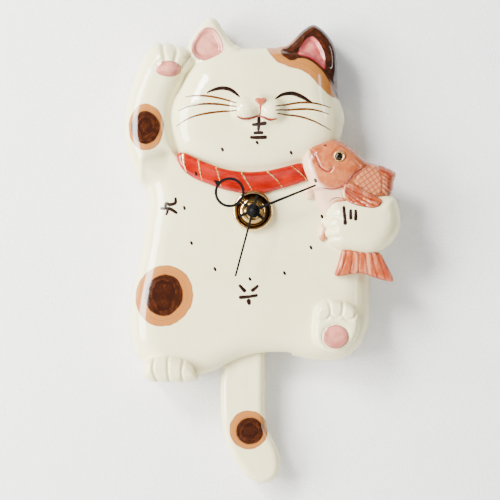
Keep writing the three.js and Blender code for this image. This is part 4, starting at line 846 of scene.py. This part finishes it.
def cat_field(X, Y, Z):
    d = smin(torso_field(X, Y, Z), head_field(X, Y, Z), 2.5)
    # muzzle
    muzzle = smin(ellipsoid(X, Y, Z, (-5.0, -36.5, -0.3), (10.0, 10.4, 8.8)), ellipsoid(X, Y, Z, (13.0, -36.5, -0.9), (9.6, 10.2, 8.6)), 2.0)
    muzzle = smin(muzzle, ellipsoid(X, Y, Z, (4.6, -36.0, 4.5), (6.5, 9.2, 5.5)), 4.5)
    muzzle = smin(muzzle, ellipsoid(X, Y, Z, (3.8, -35.0, -9.5), (8.5, 5.6, 5.5)), 4.5)
    d = smin(d, muzzle, 3.2)
    ear = smin(
        slab(M.get("ear_l", X, Z), Y, -6, -28.5 + 0.06 * np.maximum(Z - 44, 0), 5.5, 7),
        slab(M.get("ear_r", X, Z), Y, -6, -28.5 + 0.06 * np.maximum(Z - 44, 0), 5.5, 7), 1.0)
    ear = rounded_back(ear, np.minimum(M.get("ear_l", X, Z), M.get("ear_r", X, Z)), Y, -6, 5.5)
    pink = np.minimum(M.get("ear_l_pink", X, Z), M.get("ear_r_pink", X, Z))
    ear = ear + 1.7 * (1 - np.clip((pink + 2.2) / 2.6, 0, 1)) ** 1.5
    d = smin(d, ear, 2.2)
    arm = slab(M.get("arm_up", X, Z), Y, -1.5, -35.0 - 1.6 * bump(X, Z, (-58, 33), 17, 15), 15, 14)
    arm = arm - 0.8 * bump(X, Z, (PAW_PAD[0], PAW_PAD[1]), 8.6, 5.6) + 0.5 * np.exp(-(((((X - PAW_PAD[0]) / 9.4) ** 2 + ((Z - PAW_PAD[1]) / 6.2) ** 2) - 1) / 0.35) ** 2)
    g = M.get("paw", X, Z)
    arm = arm + 1.9 * np.exp(-((g / 1.15) ** 2))
    # the raised arm grows out of the shoulder with no crease
    d = smin(d, arm, 1.8 + 15.0 * np.exp(-((X + 69) / 17) ** 2 - ((Z + 42) / 13) ** 2))
    hold = slab(M.get("arm_hold", X, Z), Y, -8, -41.5 - 2.6 * bump(X, Z, (74, -80), 26, 18), 13, 13)
    hold = rounded_back(hold, M.get("arm_hold", X, Z), Y, -8, 9)
    g = M.get("hold", X, Z)
    hold = hold + 1.6 * np.exp(-((g / 1.3) ** 2))
    d = smin(d, hold, 2.0)
    fl = slab(M.get("foot_l", X, Z), Y, -21.4, -38.8, 6.5, 7.5)
    g = M.get("foot_l_grooves", X, Z)
    fl = fl + 1.25 * np.exp(-((g / 0.75) ** 2)) * np.clip(-M.get("foot_l", X, Z) / 2.5 + 0.35, 0.35, 1)
    d = smin(d, fl, 1.8)
    fr = slab(M.get("foot_r", X, Z), Y, -20, -40.9, 4.5, 5)
    e = np.sqrt(((X - FOOT_PAD[0]) / FOOT_PAD[2]) ** 2 + ((Z - FOOT_PAD[1]) / FOOT_PAD[3]) ** 2)
    fr = fr - 0.7 * np.clip(1.25 - e, 0, 0.5) + 0.8 * np.exp(-(((e - 1.06) / 0.075) ** 2))
    g = M.get("foot_r_grooves", X, Z)
    fr = fr + 1.1 * np.exp(-((g / 0.8) ** 2))
    d = smin(d, fr, 1.6)
    return np.maximum(d, Y)  # flat where it meets the wall


def hollow_field(X, Y, Z):
    a = slab(M.get("torso", X, Z) + 5.5, Y, 5, -25.6, 6)
    b = slab(M.get("head", X, Z) + 5.5, Y, 5, -30.8, 9)
    return smin(a, b, 3.0)


def shell_field(X, Y, Z):
    d = smax(cat_field(X, Y, Z), -hollow_field(X, Y, Z), 1.0)
    bridge = np.maximum(box_distance(X, Y, Z, (-62, -6, -16), (66, 0, 26), 0.8), M.get("head", X, Z) + 1.5)
    hole = np.minimum(np.sqrt(X**2 + (Z - 10) ** 2) - 4.6, np.maximum(np.sqrt(X**2 + (Z - 19) ** 2) - 2.6, -99))
    slot = np.maximum(np.abs(X) - 2.6, np.maximum(10 - Z, Z - 19))
    hole = np.minimum(hole, slot)
    d = smin(d, np.maximum(bridge, -hole), 0.8)
    d = smax(d, -(np.sqrt(X**2 + (Z - HZ) ** 2) - 4.25), 0.5)
    d = smax(d, -box_distance(X, Y, Z, (-41, -21.4, -205), (26.5, 8, -150), 1.2), 1.2)
    return d + 0 * (X + Y + Z)


H_BODY = 1.0
V, Q = surface(shell_field, (-92.5, -47.5, -191.5), (104.5, 2.0, 68.5), H_BODY)


def ellipse(x, z, cx, cz, rx, rz, tilt=0.0):
    """Distance, roughly, to an ellipse's edge; negative inside."""
    ct, st = math.cos(tilt), math.sin(tilt)
    u, v = (x - cx) * ct + (z - cz) * st, -(x - cx) * st + (z - cz) * ct
    k = np.sqrt((u / rx) ** 2 + (v / rz) ** 2)
    g = np.sqrt((u / rx**2) ** 2 + (v / rz**2) ** 2)
    return k * (k - 1) / np.maximum(g, 1e-6)


def body_paint(V):
    x, y, z = V.T
    front = np.where(y > -1.0, 9.0, 0.0)
    orange = np.minimum(ellipse(x, z, -73.5, -12.4, 12.1, 16.2), ellipse(x, z, -61.4, -128.6, 19.8, 21.4, -0.5))
    orange = np.minimum(orange, M.get("orange", x, z))
    brown = np.minimum(ellipse(x, z, -73.8, -12.7, 9.7, 11.4), ellipse(x, z, -61.4, -128.0, 13.1, 14.5, -0.3))
    brown = np.minimum(brown, np.maximum(M.get("brown_r", x, z), M.get("orange", x, z) - 2.0))
    pink = np.minimum(M.get("ear_l_pink", x, z) - 0.9, M.get("ear_r_pink", x, z))
    pink = np.minimum(pink, ellipse(x, z, *PAW_PAD))
    pink = np.minimum(pink, ellipse(x, z, *FOOT_PAD))
    pink = np.where(y > -16, 9.0, pink)
    orange = np.where((y > -1.0), 9.0, orange)
    brown = np.where((y > -1.0), 9.0, brown)
    return {"orange": orange, "brown": brown, "pink": pink, "wall": -V[:, 1], "inside": -hollow_field(x, y, z)}


body = mesh_object("body_ceramic", V, Q, MAT["ceramic"], attributes=body_paint(V), sharp=60)
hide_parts("body_shell")


# ---------------------------------------------------------------- collar
def collar_field(X, Y, Z):
    s = M.get("collar", X, Z)
    t = neck_field(X, Y, Z) - 4.2
    R = 3.0
    qx, qy = s + R, t + R
    d = np.minimum(np.maximum(qx, qy), 0) + np.sqrt(np.maximum(qx, 0) ** 2 + np.maximum(qy, 0) ** 2) - R
    d = np.maximum(d, -(neck_field(X, Y, Z) + 2.0))
    d = np.maximum(d, Y + 16)
    d = smax(d, -(np.sqrt(X**2 + (Z - HZ) ** 2) - 14.2), 0.3)
    return d


V, Q = surface(collar_field, (-57, -42, -61), (40.5, -14, -26), 0.7)
collar = mesh_object("collar", V, Q, MAT["collar"], attributes={"edge": M.get("collar", V[:, 0], V[:, 2])})
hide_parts("collar_band")


def collar_on_cat(X, Y, Z):
    return np.minimum(collar_field(X, Y, Z), cat_field(X, Y, Z))


parts = [ribbon(l, w, collar_on_cat, rise=0.1) for l, w in COLLAR_LINES_W]
cl = outward(mesh_object("collar_lines", *join(parts), MAT["gold_line"], sharp=0))


# ---------------------------------------------------------------- painted lines on the cat
def strokes(name, key, material, rise, F=cat_field, y_from=-50.0, k=1.0, blunt=0.0):
    parts = [ribbon(p, [max(x, blunt * max(w)) * k for x in w], F, rise=rise, y_from=y_from) for p, w in STROKES[key]]
    ob = outward(mesh_object(name, *join(parts), material, sharp=0))
    return ob


strokes("whiskers", "whiskers", MAT["whisker"], 0.1, k=1.3)
strokes("eyes", "eyes", MAT["dark_paint"], 0.16, k=1.12)
strokes("mouth", "mouth", MAT["mouth_paint"], 0.1, k=1.35)
strokes("dial_numerals", "numerals", MAT["dark_paint"], 0.14, k=1.95, blunt=0.78)
def applied(name, pts, t, R, material, h=0.3, F=cat_field):
    """A small raised patch of thick paint over the surface F."""
    P = spline(pts, 6)
    lo, hi = P.min(0) - 1.0, P.max(0) + 1.0
    m = Maps(lo[0], hi[0], lo[1], hi[1], 0.15)
    m.add("s", polygon_distance(m.X, m.Z, P))
    y = front_of(F, np.array([P[:, 0].mean()]), np.array([P[:, 1].mean()]))[0]

    def field(X, Y, Z):
        f = F(X, Y, Z)
        qx, qy = m.get("s", X, Z) + R, f - t + R
        d = np.minimum(np.maximum(qx, qy), 0) + np.sqrt(np.maximum(qx, 0) ** 2 + np.maximum(qy, 0) ** 2) - R
        return np.maximum(d, -(f + 0.6))

    V, Q = surface(field, (lo[0], y - 2.5, lo[1]), (hi[0], y + 3.5, hi[1]), h)
    ob = mesh_object(name, V, Q, material, sharp=0)
    return ob


applied("nose", NOSE, 0.9, 0.7, MAT["nose"])


# ---------------------------------------------------------------- sea bream
def bream_field(X, Y, Z):
    s = M.get("fish", X, Z)
    front = -35.0 - 5.6 * bump(X, Z, (57, -40), 25, 21, 0.3) - 1.2 * bump(X, Z, (74, -54), 13, 10)
    d = rounded_back(slab(s, Y, -20, front, 7.5, 8), s, Y, -20, 6)
    # head plate behind the gill line stands proud
    gill = M.get("gill_side", X, Z)
    d = d - 0.9 * (1 / (1 + np.exp(np.clip(gill / 0.5, -30, 30)))) * (1 / (1 + np.exp(np.clip((-s - 1.0) * -2.0, -30, 30))))
    d = d + 0.8 * np.exp(-((M.get("fish_mouth", X, Z) / 0.8) ** 2))
    # rays of the back fin and the breast fin
    d = d + 0.35 * np.exp(-((M.get("fin_rays", X, Z) / 0.55) ** 2))
    d = d + 0.55 * np.exp(-((M.get("fin_edge", X, Z) / 0.7) ** 2))
    # eye socket
    e = np.sqrt((X - EYE[0]) ** 2 + (Z - EYE[1]) ** 2)
    d = d + 0.5 * np.exp(-(((e - 4.4) / 0.8) ** 2))
    # breast fin, laid over the top of the arm
    fan = M.get("fan", X, Z)
    over = np.minimum(np.minimum(cat_field(X, Y, Z), d) - 1.3 - 0.6 * np.clip(-fan / 6, 0, 1), d + 9) + 0.8
    q = fan + 0.8
    fin = np.minimum(np.maximum(q, over), 0) + np.sqrt(np.maximum(q, 0) ** 2 + np.maximum(over, 0) ** 2) - 0.8
    fin = fin + 0.55 * np.exp(-((M.get("fan_rays", X, Z) / 0.6) ** 2))
    d = np.minimum(d, fin)
    # two small fins on the belly side
    for cx, cz, rx, rz, cy in ((38.9, -57.0, 4.2, 5.0, -31.0), (47.9, -84.6, 3.3, 6.4, -31.5)):
        d = smin(d, ellipsoid(X, Y, Z, (cx, cy, cz), (rx, 3.8, rz)), 1.0)
    return smax(d, -(cat_field(X, Y, Z) + 0.6), 0.2)


V, Q = surface(bream_field, (31.5, -44.5, -96), (101.5, -17, -18), 0.62)


def bream_paint(V):
    x, y, z = V.T
    return {"gill": M.get("gill_side", x, z), "scales": M.get("scales", x, z), "edge": M.get("fish", x, z), "rays": np.minimum(M.get("fin_rays", x, z), M.get("fan_rays", x, z)), "fins": np.minimum(M.get("fins", x, z), M.get("fan", x, z)), "belly": M.get("belly", x, z)}


bream = mesh_object("bream", V, Q, MAT["bream"], attributes=bream_paint(V))
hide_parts("sea_bream")


def bream_tail_field(X, Y, Z):
    s = M.get("fish_tail", X, Z)
    front = -36.2 + 0.05 * (Z + 98)
    d = rounded_back(slab(s, Y, -23, front, 3.2, 3.4), s, Y, -23, 3)
    d = d + 0.5 * np.exp(-((M.get("tail_rays", X, Z) / 0.7) ** 2))
    return smax(d, -(cat_field(X, Y, Z) + 0.6), 0.2)


V, Q = surface(bream_tail_field, (53, -40, -121.5), (99, -20, -93.5), 0.6)
btail = mesh_object("bream_tail", V, Q, MAT["bream_tail"], attributes={"gill": np.full(len(V), 9.0), "scales": np.full(len(V), 9.0), "edge": M.get("fish_tail", V[:, 0], V[:, 2]), "rays": M.get("tail_rays", V[:, 0], V[:, 2]), "fins": np.full(len(V), -4.0), "belly": np.full(len(V), 9.0)})
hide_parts("sea_bream_tail")
strokes("bream_lines", "bream_lines", MAT["bream_line"], 0.08, F=lambda X, Y, Z: np.minimum(bream_field(X, Y, Z), cat_field(X, Y, Z)))
# eye: gold ring, black pupil
y_eye = float(front_of(bream_field, np.array([EYE[0]]), np.array([EYE[1]]))[0])
ring = [(2.2, y_eye + 1.5), (3.9, y_eye + 1.5)] + [(3.9 - 0.75 + 0.75 * math.cos(a), y_eye - 0.1 - 0.75 * math.sin(a)) for a in np.linspace(0, math.pi, 9)] + [(2.2, y_eye + 0.2)]
ob = outward(mesh_object("bream_eye_ring", *lathe(ring, EYE[0], EYE[1], 64), MAT["gold_line"], sharp=40))
pup = [(0.0, y_eye + 1.4), (2.6, y_eye + 1.4)] + [(2.6 * math.cos(a), y_eye + 0.1 - 1.25 * math.sin(a)) for a in np.linspace(0, math.pi / 2 - 0.08, 10)] + [(0.0, y_eye - 1.15)]
ob = outward(mesh_object("bream_eye", *lathe(pup, EYE[0], EYE[1], 48), MAT["pupil"], sharp=0))

parts = []
for cx, cz, rx, rz in HOUR_DOTS:
    F = lambda X, Y, Z: np.minimum(cat_field(X, Y, Z), np.minimum(collar_field(X, Y, Z), bream_field(X, Y, Z)))
    a = 0.62 if rx < rz else -0.1
    parts.append(ribbon([(cx - 0.25 * rx, cz + 0.55 * rz), (cx, cz), (cx + 0.25 * rx, cz - 0.55 * rz)], [1.75, 2.0, 1.75], F, rise=0.14))
dots = outward(mesh_object("dial_dots", *join(parts), MAT["dark_paint"], sharp=0))
nostril = outward(mesh_object("bream_nostril", *ribbon([(49.2, -24.8), (49.5, -24.9), (49.9, -25.1)], [1.0, 1.15, 1.0], bream_field, rise=0.1), MAT["dark_paint"], sharp=0))
strokes("fin_outline", "fin_outline", MAT["bream_line"], 0.08, F=lambda X, Y, Z: np.minimum(cat_field(X, Y, Z), bream_field(X, Y, Z)))


# ---------------------------------------------------------------- tail
def tail_field(X, Y, Z):
    s = MT.get("tail", X, Z)
    R = 5.4
    front = -19.1 - 0.4 * np.clip(-s / 14, 0, 1)
    qx = s + R
    qf, qb = front - Y + R, (Y + 5.5) * 1.0 + R * 0.8
    qy = np.maximum(qf, qb)
    d = np.minimum(np.maximum(qx, qy), 0) + np.sqrt(np.maximum(qx, 0) ** 2 + np.maximum(qy, 0) ** 2) - R
    hole = np.maximum(np.sqrt((X - PX) ** 2 + (Y + 12.6) ** 2) - 2.9, ZT - 2.5 - Z)
    return smax(d, -hole, 0.6)


PX = round((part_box("pendulum_rod")[0][0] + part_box("pendulum_rod")[1][0]) / 2 / MM, 3)
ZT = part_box("pendulum_rod")[0][2] / MM
MT = Maps(-26, 23, -264, -155, 0.4)
MT.outline("tail", OUT["tail"])
V, Q = surface(tail_field, (-24.5, -21.5, -262), (21.5, -4, -156.5), 0.85)
x, y, z = V.T
tp = {"orange": ellipse(x, z, -3.1, -222.1, 13.5, 13.5), "brown": ellipse(x, z, -2.1, -222.8, 9.5, 9.5), "wall": np.full(len(V), 9.0)}
for k in ("orange", "brown"):
    tp[k] = np.where(y > -8, 9.0, tp[k])
tail = mesh_object("tail_ceramic", V, Q, MAT["tail"], body=TAIL, attributes=tp, sharp=60)
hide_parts("tail_bob")


# ---------------------------------------------------------------- brass escutcheon, washer, nut, bush
def turned(name, profile, mat, node=None, body=BODY, segs=96, sharp=35):
    ob = outward(mesh_object(name, *lathe(profile, 0.0, HZ, segs), MAT[mat], body=body, sharp=sharp))
    if node:
        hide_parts(node)
    return ob


bell = [(4.3, -31.3), (13.3, -31.3)] + arc(13.3, -32.0, 0.7, 90, 0, 4)[1:] + [(14.0, -33.2)]
bell += [(12.6 + 1.4 * math.cos(a), -33.4 - 1.9 * math.sin(a)) for a in np.linspace(0.1, math.pi - 0.25, 12)]
bell += [(11.0, -34.2), (10.8, -33.4), (10.4, -33.1), (9.9, -33.3), (9.6, -34.0), (9.2, -34.7)]
bell += [(8.4, -35.3), (7.6, -35.7), (6.6, -35.9), (5.2, -36.05), (4.3, -36.1)]
turned("bell", bell, "bell", "bell_escutcheon")
turned("washer", [(4.3, -36.5), (6.4, -36.5), (6.6, -36.65), (6.6, -37.1), (6.4, -37.3), (4.3, -37.3)], "brass", "brass_washer")
bush = [(2.75, -22.9), (3.95, -22.9)]
yy = -36.0
while yy > -40.0:  # the thread's last turns, in front of the nut
    bush += [(3.95, yy), (3.62, yy - 0.3)]
    yy -= 0.6
bush += [(3.9, -40.2), (3.6, -40.6), (2.75, -40.6)]
turned("bush", bush, "brass", "threaded_bush")


def hex_nut():
    V, faces = [], []
    rings = [(4.3, -37.7, 0), (4.7, -37.6, 0), (5.1, -37.6, 1), (5.95, -38.1, 2), (5.95, -39.4, 2), (5.1, -39.8, 1), (4.7, -39.8, 0), (4.3, -39.5, 0)]
    n = 96
    for r, y, kind in rings:
        for k in range(n):
            a = 2 * math.pi * k / n
            hexr = 5.16 / math.cos((a % (math.pi / 3)) - math.pi / 6)
            rr = r if kind < 2 else min(hexr, r + 0.02)
            if kind == 1:
                rr = min(r, hexr)
            V.append((rr * math.cos(a), y, HZ + rr * math.sin(a)))
    m = len(rings)
    for i in range(m):
        for k in range(n):
            faces.append((i * n + k, i * n + (k + 1) % n, ((i + 1) % m) * n + (k + 1) % n, ((i + 1) % m) * n + k))
    return np.array(V), faces


nut = outward(mesh_object("nut", *hex_nut(), MAT["brass_dark"], sharp=25))
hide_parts("hex_nut")


# ---------------------------------------------------------------- hands
def hand(name, node, body, field, lo, hi, degrees, h):
    V, Q = surface(field, lo, hi, h)
    a = math.radians(degrees)
    x, z = V[:, 0].copy(), V[:, 2].copy()
    V[:, 0] = x * math.cos(a) + z * math.sin(a)
    V[:, 2] = -x * math.sin(a) + z * math.cos(a) + HZ
    ob = mesh_object(name, V, Q, MAT["hand"], body=body, sharp=0)
    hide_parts(node)
    return ob


def bar(X, Z, z0, z1, w0, w1):
    t = np.clip((Z - z0) / (z1 - z0), 0, 1)
    w = w0 + (w1 - w0) * t
    return np.maximum(np.abs(X) - w / 2, np.maximum(z0 - Z, Z - z1))


def plate_field(flat, y0, y1, R=0.14):
    def f(X, Y, Z):
        s = flat(X, Z) + R
        q = np.maximum(y0 - Y, Y - y1) + R
        return np.minimum(np.maximum(s, q), 0) + np.sqrt(np.maximum(s, 0) ** 2 + np.maximum(q, 0) ** 2) - R

    return f


def hour_flat(X, Z):
    r = np.sqrt(X * X + Z * Z)
    d = r - 4.6
    d = np.minimum(d, bar(X, Z, 3.5, 11.2, 1.5, 1.4))
    d = np.minimum(d, bar(X, Z, -9.7, -3.5, 1.9, 2.2))
    d = np.minimum(d, np.abs(np.sqrt(X * X + (Z - 20.3) ** 2) - 9.35) - 0.95)
    d = np.minimum(d, np.maximum(bar(X, Z, 29.6, 34.2, 4.3, 0.05), 29.6 - Z))
    return np.maximum(d, 2.8 - r)


def minute_flat(X, Z):
    r = np.sqrt(X * X + Z * Z)
    d = np.minimum(r - 4.4, bar(X, Z, 0, 46.2, 2.1, 1.35))
    d = np.minimum(d, bar(X, Z, -9.7, 0, 2.1, 1.9))
    return np.maximum(d, 1.65 - r)


def second_solid(X, Y, Z):
    r = np.sqrt(X * X + Z * Z)
    d = plate_field(lambda X, Z: bar(X, Z, -10.4, 46.4, 1.6, 1.35), -48.2, -47.7, 0.12)(X, Y, Z)
    hub = np.maximum(r - 2.2, Y + 47.3)
    dome = np.sqrt(X * X + Z * Z + ((Y + 46.9) * 1.05) ** 2) - 2.42
    d = np.minimum(d, np.maximum(np.maximum(hub, -49.2 - Y), dome))
    return np.maximum(d, -np.maximum(r - 0.8, -48.3 - Y))


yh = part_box("hour_hand")
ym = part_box("minute_hand")
hq = 0.26
hand("hour_hand_ring", "hour_hand", "hour_train", plate_field(hour_flat, yh[0][1] / MM, yh[1][1] / MM), (-11, -44.2, -10.6), (11, -41.6, 35), 308, hq)
hand("minute_hand_bar", "minute_hand", "minute_train", plate_field(minute_flat, ym[0][1] / MM, ym[1][1] / MM), (-5.2, -46.6, -10.6), (5.2, -44.4, 47.2), 68, hq)
hand("second_hand_bar", "second_hand", "second_train", second_solid, (-3, -50, -11.4), (3, -46.8, 47.2), 195, hq * 0.8)

# the rest of the movement keeps its CAD shape
FINISH = {
    "movement_case": "case", "movement_back_cover": "case", "gear_bridge": "case", "rubber_washer": "rubber",
    "hour_wheel": "gear", "centre_wheel": "gear", "intermediate_wheel": "gear", "setting_knob": "gear", "second_wheel": "gear",
    "third_wheel": "gear", "fifth_wheel": "gear", "pendulum_lever": "gear", "minute_arbor": "brass", "rotor": "magnet",
    "pendulum_magnet": "magnet", "stator": "steel", "coil_bobbin": "copper", "pendulum_coil": "copper", "circuit_board": "board",
    "quartz_crystal": "steel", "battery": "cell", "contact_positive": "steel", "contact_negative": "steel", "pivot_pin": "steel",
    "pendulum_rod": "brass", "tail_anchor": "brass",
}
for node, mat in FINISH.items():
    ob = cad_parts[node]
    for sl in ob.material_slots:
        sl.material = MAT[mat]
    if not ob.material_slots:
        ob.data.materials.append(MAT[mat])


# ---------------------------------------------------------------- stage, light, camera
def stage_plane(name, corners, material):
    me = bpy.data.meshes.new(name)
    me.from_pydata([tuple(c) for c in corners], [], [(0, 1, 2, 3)])
    me.materials.append(material)
    ob = bpy.data.objects.new(name, me)
    bpy.context.scene.collection.objects.link(ob)
    return ob


def wall_material():
    n = Nodes("wall")
    v = n.noise(900, 4, 0.7)
    w = n.noise(25, 2)
    c = n.mix(n.ramp(w, 0.3, 0.7), (0.93, 0.93, 0.93), (0.905, 0.905, 0.905))
    c = n.mix(n.ramp(v, 0.42, 0.62, 0, 0.3), c, (0.78, 0.78, 0.78))
    n.set(Base_Color=c, Normal=n.bump(v, 0.7, 0.0016))
    n.b.inputs["Roughness"].default_value = 0.9
    # seen from behind, the wall is clear, so that the clock's back can be looked at
    geo = n.t.nodes.new("ShaderNodeNewGeometry")
    clear = n.t.nodes.new("ShaderNodeBsdfTransparent")
    mix = n.t.nodes.new("ShaderNodeMixShader")
    path = n.t.nodes.new("ShaderNodeLightPath")
    n.link(n.math("MAXIMUM", geo.outputs["Backfacing"], path.outputs["Is Shadow Ray"]), mix.inputs[0])
    n.link(n.b.outputs[0], mix.inputs[1])
    n.link(clear.outputs[0], mix.inputs[2])
    n.link(mix.outputs[0], n.out.inputs[0])
    return n.m


wall = stage_plane("wall", [(-1.6, 0.0015, -0.62), (1.6, 0.0015, -0.62), (1.6, 0.0015, 1.6), (-1.6, 0.0015, 1.6)], wall_material())
floor_m = simple("floor", (0.66, 0.655, 0.64), (0.62, 0.615, 0.60), 12, (0.6, 0.75))
stage_plane("floor", [(-3, -3, -0.62), (3, -3, -0.62), (3, 3, -0.62), (-3, 3, -0.62)], floor_m)

world = bpy.data.worlds.new("studio")
bpy.context.scene.world = world
world.use_nodes = True
bg = world.node_tree.nodes["Background"]
bg.inputs[0].default_value = (0.93, 0.95, 1.0, 1)
bg.inputs[1].default_value = 0.16


def area(name, at, to, size, power, color=(1, 1, 1)):
    li = bpy.data.lights.new(name, "AREA")
    li.shape = "RECTANGLE"
    li.size, li.size_y = size
    li.energy = power
    li.color = color
    ob = bpy.data.objects.new(name, li)
    ob.location = at
    ob.rotation_euler = (Vector(to) - Vector(at)).to_track_quat("-Z", "Y").to_euler()
    bpy.context.scene.collection.objects.link(ob)
    return ob


mid = (0, -0.02, -0.09)
area("key", (-0.95, -1.15, 0.85), mid, (0.5, 0.5), 74, (1.0, 0.99, 0.97))
area("fill", (1.15, -1.0, 0.25), mid, (0.16, 0.9), 7, (0.95, 0.97, 1.0))
area("strip_left", (-1.2, -0.8, 0.0), mid, (0.62, 0.95), 74, (1.0, 0.99, 0.97))
area("back", (0.7, 1.3, 0.5), mid, (0.9, 0.9), 14)
area("back_low", (-0.9, 1.1, -0.3), mid, (0.7, 0.7), 6)

cam = bpy.data.cameras.new("camera")
cam.sensor_width = 36
D = 1.25
cam.lens = 36 * (D - 0.030) / 0.345
cam.clip_start = 0.05
co = bpy.data.objects.new("camera", cam)
co.location = (-0.00207, -D, -0.0969)
co.rotation_euler = (math.pi / 2, 0, 0)
bpy.context.scene.collection.objects.link(co)
bpy.context.scene.camera = co
